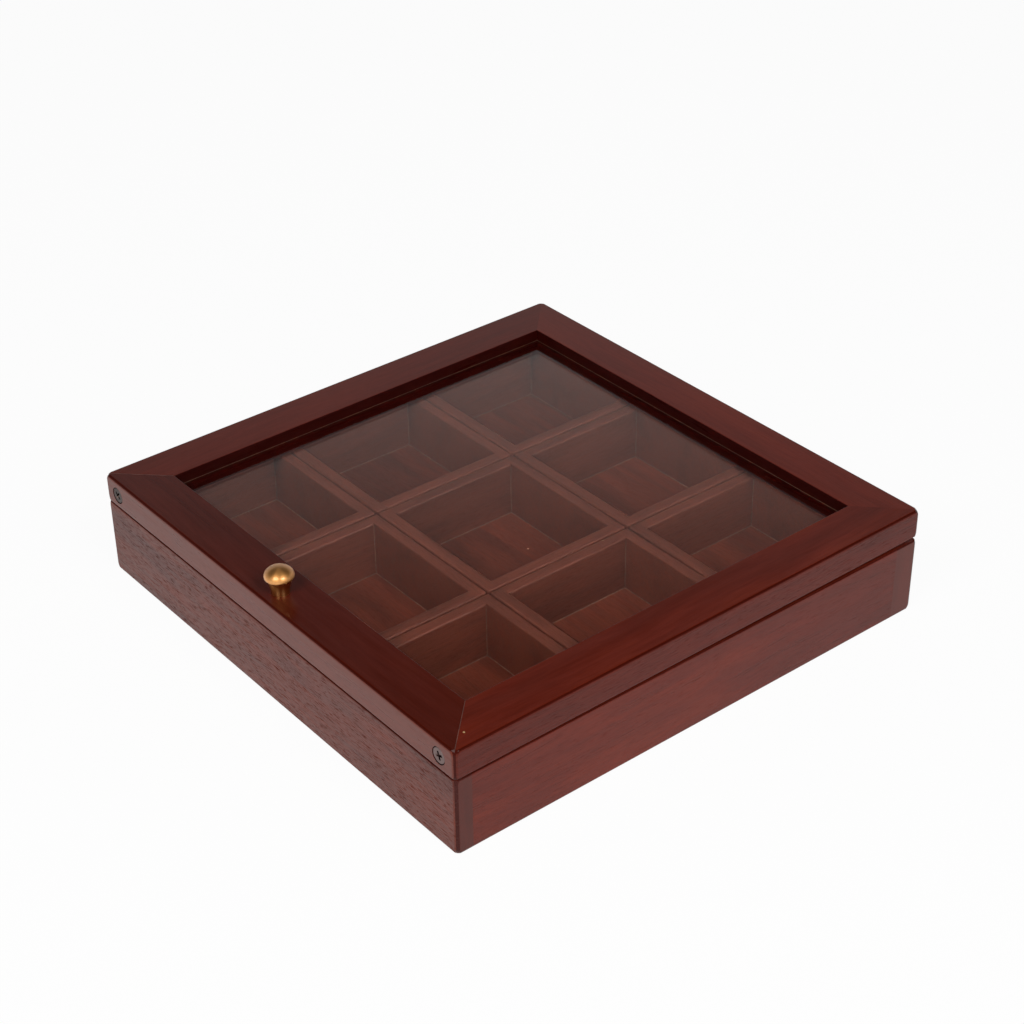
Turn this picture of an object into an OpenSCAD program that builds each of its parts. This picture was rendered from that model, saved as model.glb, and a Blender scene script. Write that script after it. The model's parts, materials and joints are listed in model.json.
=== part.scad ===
// Tea bag organizer: a shallow hardwood box with a hinged glass lid and nine lift-out cups.
// Frame: origin on the underside, midway along both sides; +X right, -Y the knob side, +Z up.

/* [Box] */
// Width of the box, left to right
box_w = 240; // [200:1:300]
// Depth of the box, front to rear, without the hinge knuckles
box_d = 239; // [200:1:300]
// Height of the base, from the table to its top rim
base_h = 34.2; // [28:0.1:60]
// Thickness of the front panel
front_t = 7.5; // [6:0.1:12]
// Thickness of the rear panel, which takes the hinge screws
rear_t = 12; // [11.5:0.1:16]
// Thickness of the left and right panels
side_t = 7.5; // [6:0.1:12]
// Thickness of the bottom panel
bottom_t = 5; // [3:0.1:8]
// How far the bottom panel is let into the four walls
rebate_w = 3.5; // [2:0.1:5]
// Radius of the upright corners of the base and the lid
corner_r = 2.2; // [0.5:0.1:4]
// Radius along the lower edges of the base
foot_r = 1; // [0.5:0.1:4]
// Radius along the rims where the base and the lid meet
rim_r = 0.8; // [0.2:0.1:1.5]

/* [Lid] */
// Width of the front lid rail, seen from above
front_rail_w = 21.5; // [16:0.1:40]
// Width of the rear lid rail
rear_rail_w = 20.5; // [16:0.1:40]
// Width of the left and right lid rails
side_rail_w = 21.1; // [16:0.1:40]
// Thickness of the lid rails
rail_t = 12.8; // [12:0.1:20]
// Radius along the upper outer edges of the rails
lid_r = 1.2; // [0.4:0.1:3]
// Thickness of the glass pane
glass_t = 3; // [2:0.1:4]
// Depth of the glass below the top of the rails
glass_drop = 5.2; // [3:0.1:6]
// How far the glass runs into the grooves of the rails
glass_bite = 4; // [2:0.1:6]
// Space between the closed lid and the base at the front
front_gap = 0.3; // [0.2:0.05:0.6]

/* [Cups] */
// Thickness of the cup walls
cup_wall = 5.5; // [3:0.1:8]
// Thickness of the cup floors
cup_floor = 3; // [2:0.1:5]
// Depth of the cup rims below the rim of the base
rim_drop = 1; // [0.8:0.1:4]
// Gap between neighbouring cups
cup_gap = 0.8; // [0.4:0.1:2]
// Gap between the outer cups and the walls of the base
cup_clear = 0.4; // [0.3:0.1:2]
// Radius of the upright outer corners of a cup
cup_corner_r = 1.2; // [0.4:0.1:2.5]
// Radius along the upper edges of a cup
cup_rim_r = 0.6; // [0.2:0.1:1.2]

/* [Knob] */
// Diameter of the knob's head
knob_d = 12.1; // [10:0.1:20]
// Height of the knob above the rail
knob_h = 11.3; // [9:0.1:20]
// Diameter of the knob's stem at its foot
knob_stem_d = 7; // [5:0.1:9]
// Radius of the knob's rounded lip
knob_lip_r = 1; // [0.4:0.1:1.5]
// Distance of the knob's axis from the front face of the lid
knob_inset = 8.4; // [7:0.1:12]
// How far the screw from below runs into the knob
knob_screw_bite = 6; // [4:0.5:8]

/* [Fasteners] */
// Head diameter of the screws through the lid's corners
corner_head_d = 7; // [5:0.1:8]
// Shank diameter of the corner screws
corner_shank_d = 3.5; // [2.5:0.1:4]
// Length of the corner screws
corner_screw_l = 28; // [20:1:40]
// Distance of a corner screw's axis from the side face of the lid
corner_screw_inset = 9.2; // [6:0.1:11]
// Height of the corner screws above the underside of the rails
corner_screw_z = 6; // [4.5:0.1:7]
// Head diameter of the screw that holds the knob
knob_head_d = 6; // [5:0.1:8]
// Shank diameter of the screw that holds the knob
knob_shank_d = 3; // [2:0.1:4]
// Head diameter of the screws in the hinges
hinge_head_d = 4.4; // [3.5:0.1:5]
// Shank diameter of the screws in the hinges
hinge_shank_d = 2.2; // [1.6:0.1:2.6]
// Length of the screws in the hinges
hinge_screw_l = 10; // [6:0.5:12]

/* [Hinges] */
// Length of each hinge along the box
hinge_l = 30; // [20:1:50]
// Distance of each hinge's middle from the side face of the box
hinge_inset = 45; // [35:1:80]
// Thickness of a hinge leaf
leaf_t = 0.8; // [0.6:0.05:1.2]
// How far a leaf reaches over the rear rim
leaf_w = 9.5; // [8:0.1:11]
// Diameter of the knuckles
knuckle_d = 3.2; // [2.6:0.1:5]
// Diameter of the hinge pin
pin_d = 1.6; // [1:0.1:2]

/* [Hidden] */
// Running and seating clearances
fit = 0.05;
leaf_gap = 0.2;
knuckle_gap = 0.2;
knuckle_clear = 0.2;
glass_fit = 0.1;
glass_edge_fit = 0.5;
cup_seat = 0.3;
panel_fit = 0.05;
cut = 1;
round_fn = 64;

// Words that name the cups, from front to rear and from left to right
ROW_NAMES = ["front", "centre", "rear"];
COL_NAMES = ["left", "middle", "right"];
rows = len(ROW_NAMES);
cols = len(COL_NAMES);
function cup_name(row, col) = str("cup_", ROW_NAMES[row], "_", COL_NAMES[col]);
CUP_NAMES = [for (row = [0 : rows - 1], col = [0 : cols - 1]) cup_name(row, col)];
CUP_PIECES = ["_long_walls", "_short_walls", "_floor"];

// Space inside the base
inner_w = box_w - 2 * side_t;
inner_d = box_d - front_t - rear_t;
inner_y = (front_t - rear_t) / 2;

// Cups: what is left of that space, shared out
cup_x = (inner_w - 2 * cup_clear - (cols - 1) * cup_gap) / cols;
cup_y = (inner_d - 2 * cup_clear - (rows - 1) * cup_gap) / rows;
cup_pitch_x = cup_x + cup_gap;
cup_pitch_y = cup_y + cup_gap;
cup_z = bottom_t + cup_seat;
cup_h = base_h - rim_drop - cup_z;

// Hinge line, behind the rear face and between the two rims
hinge_gap = 2 * leaf_t + leaf_gap;
hinge_x = box_w / 2 - hinge_inset;
knuckle_r = knuckle_d / 2;
hinge_axis_y = box_d / 2 + knuckle_r + knuckle_clear;
hinge_axis_z = base_h + hinge_gap / 2;
lid_z = base_h + hinge_gap;
// The leaves hold the rear of the lid up, so it leans forward onto the front rim
lid_lean = asin((hinge_gap - front_gap) / (hinge_axis_y + box_d / 2));

// Lid, before it leans
opening_w = box_w - 2 * side_rail_w;
opening_front = front_rail_w - box_d / 2;
opening_rear = box_d / 2 - rear_rail_w;
opening_d = opening_rear - opening_front;
opening_y = (opening_rear + opening_front) / 2;
glass_z = lid_z + rail_t - glass_drop - glass_t;
knob_y = -box_d / 2 + knob_inset;
knob_z = lid_z + rail_t;
corner_screw_x = box_w / 2 - corner_screw_inset;
hinge_screw_y = box_d / 2 - leaf_w / 2;
hinge_screw_x = hinge_l * 0.3;

// Screw heads: 90 degree countersink, and a cross recess given in shares of the head
sink_slope = 0.5;
recess_w = 0.16;
recess_l = 0.62;
recess_deep = 0.8;

wood_base = [0.29, 0.12, 0.09];
wood_lid = [0.34, 0.11, 0.07];
wood_cup = [0.27, 0.11, 0.09];
clear_glass = [0.75, 0.8, 0.8, 0.35];
brass = [0.72, 0.55, 0.28];
steel = [0.42, 0.38, 0.36];

// ---------- shared shapes ----------

// Removes a sharp edge that runs up from the origin, whose solid lies at -x and -y
module edge_cut(r, length) {
    translate([-r, -r, -cut])
        linear_extrude(length + 2 * cut)
            difference() {
                square(r + cut);
                circle(r, $fn = round_fn);
            }
}

// The four upright edges of a block centred on the origin
module upright_cuts(w, d, h, r) {
    for (mx = [0, 1], my = [0, 1])
        mirror([mx, 0, 0])
            mirror([0, my, 0])
                translate([w / 2, d / 2, 0])
                    edge_cut(r, h);
}

// The four edges round the top of a block whose top lies at z = 0
module top_cuts(w, d, r) {
    for (m = [0, 1]) {
        mirror([0, m, 0])
            translate([-w / 2, d / 2, 0])
                rotate([0, 90, 0])
                    mirror([1, 0, 0])
                        edge_cut(r, w);
        mirror([m, 0, 0])
            translate([w / 2, d / 2, 0])
                rotate([90, 0, 0])
                    edge_cut(r, d);
    }
}

// A block centred in plan
module block(w, d, h) {
    translate([-w / 2, -d / 2, 0])
        cube([w, d, h]);
}

// Countersunk screw: its head is flush with z = 0 and its shank points down
module screw(head_d, shank_d, length, play = 0) {
    head_h = (head_d - shank_d) * sink_slope;
    rotate_extrude($fn = round_fn)
        polygon([
            [0, play], [head_d / 2 + play, play], [head_d / 2 + play, 0],
            [shank_d / 2 + play, -head_h], [shank_d / 2 + play, -length - play], [0, -length - play]
        ]);
}

// The same screw with its cross recess
module driven_screw(head_d, shank_d, length) {
    depth = (head_d - shank_d) * sink_slope * recess_deep;
    difference() {
        screw(head_d, shank_d, length);
        for (turn = [0, 90])
            rotate([0, 0, turn])
                translate([-head_d * recess_l / 2, -head_d * recess_w / 2, -depth])
                    cube([head_d * recess_l, head_d * recess_w, depth + cut]);
    }
}

// ---------- base ----------

module base_rounding() {
    upright_cuts(box_w, box_d, base_h, corner_r);
    translate([0, 0, base_h])
        top_cuts(box_w, box_d, rim_r);
    mirror([0, 0, 1])
        top_cuts(box_w, box_d, foot_r);
}

module bottom_space(play) {
    translate([0, inner_y, -cut * play])
        block(
            inner_w + 2 * rebate_w - 2 * panel_fit * (1 - play),
            inner_d + 2 * rebate_w - 2 * panel_fit * (1 - play),
            bottom_t + cut * play
        );
}

module wall(w, d, x, y) {
    difference() {
        translate([x, y, 0])
            block(w, d, base_h);
        base_rounding();
        bottom_space(1);
    }
}

module front_panel() {
    color(wood_base)
        wall(box_w, front_t, 0, -(box_d - front_t) / 2);
}

module rear_panel() {
    color(wood_base)
        difference() {
            wall(box_w, rear_t, 0, (box_d - rear_t) / 2);
            hinge_screw_places(base_h + leaf_t)
                screw(hinge_head_d, hinge_shank_d, hinge_screw_l, fit);
        }
}

module side_panel(side) {
    color(wood_base)
        wall(side_t, inner_d, side * (box_w - side_t) / 2, inner_y);
}

module bottom_panel() {
    color(wood_base)
        bottom_space(0);
}

// ---------- cups ----------

module cup_place(row, col) {
    translate([(col - (cols - 1) / 2) * cup_pitch_x, inner_y + (row - (rows - 1) / 2) * cup_pitch_y, cup_z])
        children();
}

module cup_rounding() {
    upright_cuts(cup_x, cup_y, cup_h, cup_corner_r);
    translate([0, 0, cup_h])
        top_cuts(cup_x, cup_y, cup_rim_r);
}

module cup_long_walls(row, col) {
    color(wood_cup)
        cup_place(row, col)
            difference() {
                for (side = [-1, 1])
                    translate([0, side * (cup_y - cup_wall) / 2, 0])
                        block(cup_x, cup_wall, cup_h);
                cup_rounding();
            }
}

module cup_short_walls(row, col) {
    color(wood_cup)
        cup_place(row, col)
            difference() {
                for (side = [-1, 1])
                    translate([side * (cup_x - cup_wall) / 2, 0, 0])
                        block(cup_wall, cup_y - 2 * cup_wall, cup_h);
                cup_rounding();
            }
}

module cup_floor_board(row, col) {
    color(wood_cup)
        cup_place(row, col)
            block(cup_x - 2 * cup_wall - 2 * panel_fit, cup_y - 2 * cup_wall - 2 * panel_fit, cup_floor);
}

// ---------- lid ----------

// Leans what is drawn level about the hinge line
module leaning() {
    translate([0, hinge_axis_y, hinge_axis_z])
        rotate([lid_lean, 0, 0])
            translate([0, -hinge_axis_y, -hinge_axis_z])
                children();
}

module lid_rounding() {
    translate([0, 0, lid_z])
        upright_cuts(box_w, box_d, rail_t, corner_r);
    translate([0, 0, lid_z + rail_t])
        top_cuts(box_w, box_d, lid_r);
    translate([0, 0, lid_z])
        mirror([0, 0, 1])
            top_cuts(box_w, box_d, rim_r);
}

module glass_groove() {
    translate([0, opening_y, glass_z - glass_fit])
        block(
            opening_w + 2 * (glass_bite + glass_edge_fit),
            opening_d + 2 * (glass_bite + glass_edge_fit),
            glass_t + 2 * glass_fit
        );
}

module corner_screw_places(front) {
    for (side = [-1, 1])
        translate([side * corner_screw_x, front * box_d / 2, lid_z + corner_screw_z])
            rotate([-front * 90, 0, 0])
                children();
}

module knob_screw_place() {
    translate([0, knob_y, lid_z])
        mirror([0, 0, 1])
            children();
}

// A mitred rail along X, on the front (-1) or the rear (1), less all that is let into it
module long_rail(front) {
    inner_edge = front < 0 ? opening_front : opening_rear;
    difference() {
        translate([0, 0, lid_z])
            linear_extrude(rail_t)
                polygon([
                    [-box_w / 2, front * box_d / 2], [box_w / 2, front * box_d / 2],
                    [opening_w / 2, inner_edge], [-opening_w / 2, inner_edge]
                ]);
        rail_cuts(front);
    }
}

// A mitred rail along Y, on the left (-1) or the right (1)
module short_rail(side) {
    difference() {
        translate([0, 0, lid_z])
            linear_extrude(rail_t)
                polygon([
                    [side * box_w / 2, -box_d / 2], [side * box_w / 2, box_d / 2],
                    [side * opening_w / 2, opening_rear], [side * opening_w / 2, opening_front]
                ]);
        rail_cuts(-1);
        rail_cuts(1);
    }
}

module rail_cuts(front) {
    lid_rounding();
    glass_groove();
    corner_screw_places(front)
        screw(corner_head_d, corner_shank_d, corner_screw_l, fit);
    if (front < 0)
        knob_screw_place()
            screw(knob_head_d, knob_shank_d, rail_t + cut, fit);
    else
        hinge_screw_places(lid_z - leaf_t, true)
            screw(hinge_head_d, hinge_shank_d, hinge_screw_l, fit);
}

module lid_front_rail() {
    color(wood_lid)
        leaning()
            long_rail(-1);
}

module lid_rear_rail() {
    color(wood_lid)
        leaning()
            long_rail(1);
}

module lid_side_rail(side) {
    color(wood_lid)
        leaning()
            short_rail(side);
}

module glass_pane() {
    color(clear_glass)
        leaning()
            translate([0, opening_y, glass_z])
                block(opening_w + 2 * glass_bite, opening_d + 2 * glass_bite, glass_t);
}

// ---------- knob ----------

// Turned profile: short foot, flare that widens to the head, rounded lip and domed top
foot_h = 0.8;
flare_power = 1.3;
lip_start = -60;
lip_turn = 110;
lip_z = knob_h * 0.75;
arc_steps = 12;
function lip_point(angle) =
    [knob_d / 2 - knob_lip_r + knob_lip_r * cos(angle), lip_z + knob_lip_r * sin(angle)];
function flare_points() =
    let (foot = [knob_stem_d / 2, foot_h], rise = lip_point(lip_start) - foot)
    [for (i = [0 : arc_steps - 1])
        let (t = i / arc_steps)
        foot + [rise[0] * pow(t, flare_power), rise[1] * t]];
function lip_points() = [for (i = [0 : arc_steps]) lip_point(lip_start + lip_turn * i / arc_steps)];
function dome_points() =
    let (rim = lip_point(lip_start + lip_turn))
    [for (i = [1 : arc_steps])
        let (a = 90 * i / arc_steps)
        [rim[0] * cos(a), rim[1] + (knob_h - rim[1]) * sin(a)]];

module knob() {
    color(brass)
        leaning()
            translate([0, knob_y, knob_z])
                difference() {
                    rotate_extrude($fn = round_fn)
                        polygon(concat([[0, 0], [knob_stem_d / 2, 0]], flare_points(), lip_points(), dome_points()));
                    translate([0, 0, -cut])
                        cylinder(d = knob_shank_d + 2 * fit, h = knob_screw_bite + cut + fit, $fn = round_fn);
                }
}

module knob_screw() {
    color(steel)
        leaning()
            knob_screw_place()
                driven_screw(knob_head_d, knob_shank_d, rail_t + knob_screw_bite);
}

module corner_screws(front) {
    color(steel)
        leaning()
            corner_screw_places(front)
                driven_screw(corner_head_d, corner_shank_d, corner_screw_l);
}

// ---------- hinges ----------

// Places of the four screws in one set of leaves; their heads face up, or down when turned
module hinge_screw_places(z, turned = false) {
    for (side = [-1, 1], end = [-1, 1])
        translate([side * hinge_x + end * hinge_screw_x, hinge_screw_y, z])
            mirror([0, 0, turned ? 1 : 0])
                children();
}

knuckle_l = (hinge_l - 2 * knuckle_gap) / 3;

// One knuckle: index -1 and 1 belong to the base leaf, 0 to the lid leaf
module knuckle(index, grow = 0) {
    translate([index * (knuckle_l + knuckle_gap) - knuckle_l / 2 - grow, hinge_axis_y, hinge_axis_z])
        rotate([0, 90, 0])
            cylinder(r = knuckle_r + grow, h = knuckle_l + 2 * grow, $fn = round_fn);
}

module pin_hole() {
    translate([-hinge_l / 2 - cut, hinge_axis_y, hinge_axis_z])
        rotate([0, 90, 0])
            cylinder(d = pin_d + 2 * fit, h = hinge_l + 2 * cut, $fn = round_fn);
}

// Flat plate from the rim to the hinge line
module leaf_plate(z) {
    translate([-hinge_l / 2, box_d / 2 - leaf_w, z])
        cube([hinge_l, hinge_axis_y - box_d / 2 + leaf_w, leaf_t]);
}

module base_leaf(side) {
    color(brass)
        difference() {
            translate([side * hinge_x, 0, 0])
                difference() {
                    union() {
                        leaf_plate(base_h);
                        knuckle(-1);
                        knuckle(1);
                    }
                    knuckle(0, knuckle_gap);
                    pin_hole();
                }
            hinge_screw_places(base_h + leaf_t)
                screw(hinge_head_d, hinge_shank_d, hinge_screw_l, fit);
        }
}

module lid_leaf(side) {
    color(brass)
        leaning()
            difference() {
                translate([side * hinge_x, 0, 0])
                    difference() {
                        union() {
                            leaf_plate(lid_z - leaf_t);
                            knuckle(0);
                        }
                        knuckle(-1, knuckle_gap);
                        knuckle(1, knuckle_gap);
                        pin_hole();
                    }
                hinge_screw_places(lid_z - leaf_t, true)
                    screw(hinge_head_d, hinge_shank_d, hinge_screw_l, fit);
            }
}

module hinge_pin(side) {
    color(brass)
        translate([side * hinge_x - hinge_l / 2, hinge_axis_y, hinge_axis_z])
            rotate([0, 90, 0])
                cylinder(d = pin_d, h = hinge_l, $fn = round_fn);
}

module hinge_base_screws() {
    color(brass)
        hinge_screw_places(base_h + leaf_t)
            driven_screw(hinge_head_d, hinge_shank_d, hinge_screw_l);
}

module hinge_lid_screws() {
    color(brass)
        leaning()
            hinge_screw_places(lid_z - leaf_t, true)
                driven_screw(hinge_head_d, hinge_shank_d, hinge_screw_l);
}

// ---------- assembly ----------

front_panel();
rear_panel();
side_panel(-1);  // left_panel
side_panel(1);  // right_panel
bottom_panel();
for (row = [0 : rows - 1], col = [0 : cols - 1]) {
    cup_long_walls(row, col);
    cup_short_walls(row, col);
    cup_floor_board(row, col);
}
lid_front_rail();
lid_rear_rail();
lid_side_rail(-1);  // lid_left_rail
lid_side_rail(1);  // lid_right_rail
glass_pane();
knob();
knob_screw();
corner_screws(-1);  // front_corner_screws
corner_screws(1);  // rear_corner_screws
base_leaf(-1);  // hinge_left_base_leaf
lid_leaf(-1);  // hinge_left_lid_leaf
hinge_pin(-1);  // hinge_left_pin
base_leaf(1);  // hinge_right_base_leaf
lid_leaf(1);  // hinge_right_lid_leaf
hinge_pin(1);  // hinge_right_pin
hinge_base_screws();
hinge_lid_screws();
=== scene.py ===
"""Finished pieces of a wooden tea bag box, modelled around its packed construction model."""

import json
import math

import bmesh
import bpy
from bpy.props import FloatProperty, FloatVectorProperty, IntProperty, PointerProperty
from mathutils import Matrix, Vector


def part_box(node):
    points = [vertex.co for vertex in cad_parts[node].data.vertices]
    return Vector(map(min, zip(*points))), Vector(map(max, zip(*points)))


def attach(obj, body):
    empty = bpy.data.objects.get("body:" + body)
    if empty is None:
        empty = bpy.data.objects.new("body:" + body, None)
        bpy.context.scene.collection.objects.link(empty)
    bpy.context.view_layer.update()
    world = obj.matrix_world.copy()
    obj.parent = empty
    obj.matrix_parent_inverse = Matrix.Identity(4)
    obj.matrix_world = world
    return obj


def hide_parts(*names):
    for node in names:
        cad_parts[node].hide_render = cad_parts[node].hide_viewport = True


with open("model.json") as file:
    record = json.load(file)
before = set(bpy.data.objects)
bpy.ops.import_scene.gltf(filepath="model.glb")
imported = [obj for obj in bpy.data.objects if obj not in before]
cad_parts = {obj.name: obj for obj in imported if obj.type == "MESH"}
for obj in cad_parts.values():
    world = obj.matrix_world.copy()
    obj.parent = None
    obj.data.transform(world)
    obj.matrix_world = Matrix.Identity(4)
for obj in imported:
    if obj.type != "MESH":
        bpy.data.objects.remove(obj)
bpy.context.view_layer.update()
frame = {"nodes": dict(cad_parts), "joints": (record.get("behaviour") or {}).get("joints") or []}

bl_info = {
    "name": "Tea Box Pieces",
    "version": (1, 0, 0),
    "blender": (4, 5, 0),
    "location": "View3D > Sidebar > Tea Box",
    "description": "Models and finishes the boards, cups, lid, knob and hinges of a tea bag box",
    "category": "Object",
}

MM = 0.001
X, Y, Z = 0, 1, 2
OUTWARDS = {
    "front": Vector((0, -1, 0)),
    "rear": Vector((0, 1, 0)),
    "left": Vector((-1, 0, 0)),
    "right": Vector((1, 0, 0)),
}
ROWS = ("front", "centre", "rear")
COLUMNS = ("left", "middle", "right")

# Corners closer together than SAME_SPOT are one; closer than IN_PLANE to a plane, they lie in it. In metres.
SAME_SPOT = 2e-6
IN_PLANE = 1e-5

# Faces whose directions differ by less are one flat face, in radians
SAME_WAY = 1e-4

# Cosines between a face's direction and an axis or the way out. Above FLAT the face is flat, above OUTER it
# belongs to the outer side, above SIDE it faces that side more than any other, and above UP it looks up.
# Below BACK it looks inwards, and below DOWN it looks down.
FLAT, OUTER, SIDE, UP = 0.93, 0.8, 0.72, 0.5
BACK, DOWN = -0.3, -0.35

# Where an upright corner that is sanded rounder gets a new radius, in shares of the sanded reach
SANDED_BANDS = (1.0, 0.7, 0.45, 0.25, 0.1, 0.0)

# Keeps the faces of glue and lacquer from falling together with those of wood and glass, and can't be seen
SKIN = 0.01 * MM

# How far a cutting block reaches past the top or the foot of the piece that it cuts
BEYOND = Vector((0, 0, MM))

# Repeats per metre of the wood's patterns: along the grain, then both ways across it. Those of the streaks
# across the grain are up to each board.
WAVES = (9, 22, 22)
BANDS = (11, 70, 70)
FIBRES = (90, 2000, 2000)
PORES = (280, 2700, 2700)
PORE_PATCHES = (16, 110, 110)
RINGS = (40, 260, 40)
CUT_PORES = (300, 2300, 2300)
STREAKS_ALONG = 20

# How far the waves bend the grain, and how far on in the same wood the board with the next seed is cut
BEND = 12 * MM
NEXT_BOARD = (0.73, 0.31, 0.17)

# Tones of the cups' plain wood, dark streaks and warm streaks, and the first of their boards' seeds
CUP_TONES = (1.0, 0.6, 1.25)
CUP_SEED = 10.0

# How a screw that points down is turned to be driven in from a side, down into the base or up into the lid
DRIVEN = {
    "front": Matrix.Rotation(math.radians(90), 4, "X"),
    "rear": Matrix.Rotation(math.radians(-90), 4, "X"),
    "base": Matrix.Identity(4),
    "lid": Matrix.Rotation(math.pi, 4, "X"),
}

# The block that cuts one bar of a screw's cross, in shares of the head: half its length, half its width and
# how far it stands over the head. Its depth is a share of the cone's, and its foot is a share of its outline.
BAR_LENGTH, BAR_WIDTH, BAR_ABOVE = 0.4, 0.09, 0.2
BAR_DEPTH = 0.8
BAR_FOOT = (0.45, 0.7, 1)

# How far the crosses are turned, in radians: at the lid's left and right corners, and in the leaves, where
# each turn also depends on how far across the box the screw is
CORNER_TURNS = (0.9, 0.35)
LEAF_TURN, LEAF_TURN_PER_METRE = 0.4, 37

# How far the glue in a mitre keeps off the rounded edges, in their radii, and how the glue drop is turned
GLUE_CLEAR = 1.5
DROP_TURN = 0.6

# The knob's profile: points on its flare, power of the flare's curve, how far the neck lies below the widest
# part in radii of the lip, power that fills out the dome, and the arc under the edge in degrees
KNOB_STEPS = 12
FLARE_POWER = 1.7
NECK_DROP = 1.4
DOME_POWER = 0.92
LIP_ARC = range(-75, 0, 15)

# Knuckles of a hinge; the base's leaf has the first, and from there they take turns
KNUCKLES = 3

# Width of the camera's sensor in mm, and how far the camera sees in metres
SENSOR_WIDTH = 36
FAR_AWAY = 50


# ---------- what the construction model says ----------


def pane_slope():
    """How far the closed lid leans forward, from the upper face of the pane."""
    faces = frame["nodes"]["glass_pane"].data.polygons
    top = max(faces, key=lambda face: face.area * face.normal.z)
    return math.atan2(-top.normal.y, top.normal.z)


HINGE = Vector(next(j["pos_m"] for j in frame["joints"] if j["name"] == "lid_hinge"))
LEAN = pane_slope()
LEANING = Matrix.Translation(HINGE) @ Matrix.Rotation(LEAN, 4, "X") @ Matrix.Translation(-HINGE)


def level_box(*nodes):
    """Lowest and highest corners of lid nodes, with the lid turned level about the hinge line."""
    upright = LEANING.inverted()
    places = [upright @ v.co for n in nodes for v in frame["nodes"][n].data.vertices]
    low = Vector(min(p[axis] for p in places) for axis in (X, Y, Z))
    high = Vector(max(p[axis] for p in places) for axis in (X, Y, Z))
    return low, high


def joint_box(*nodes):
    """Lowest and highest corners of several nodes together, as they stand."""
    boxes = [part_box(node) for node in nodes]
    low = Vector(min(box[0][axis] for box in boxes) for axis in (X, Y, Z))
    high = Vector(max(box[1][axis] for box in boxes) for axis in (X, Y, Z))
    return low, high


BASE_LOW, BASE_HIGH = joint_box("front_panel", "rear_panel", "left_panel", "right_panel")
LID_LOW, LID_HIGH = level_box("lid_front_rail", "lid_rear_rail", "lid_left_rail", "lid_right_rail")
OPENING_LOW = Vector((level_box("lid_left_rail")[1].x, level_box("lid_front_rail")[1].y, LID_LOW.z))
OPENING_HIGH = Vector((level_box("lid_right_rail")[0].x, level_box("lid_rear_rail")[0].y, LID_HIGH.z))


# ---------- sizes and colours that a user would change ----------


def length(name, text, default):
    """A length property, given in metres and shown in the scene's units."""
    return FloatProperty(
        name=name, description=text, default=default, min=0, unit="LENGTH", subtype="DISTANCE"
    )


def share(name, text, default):
    """A property from 0 to 1."""
    return FloatProperty(name=name, description=text, default=default, min=0, max=1, subtype="FACTOR")


def colour(name, text, default):
    """A colour property, as linear red, green and blue."""
    return FloatVectorProperty(
        name=name, description=text, default=default, size=3, min=0, max=1, subtype="COLOR"
    )


def angle(name, text, default):
    """An angle property, given in degrees."""
    return FloatProperty(
        name=name, description=text, default=math.radians(default), unit="ROTATION", subtype="ANGLE"
    )


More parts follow.
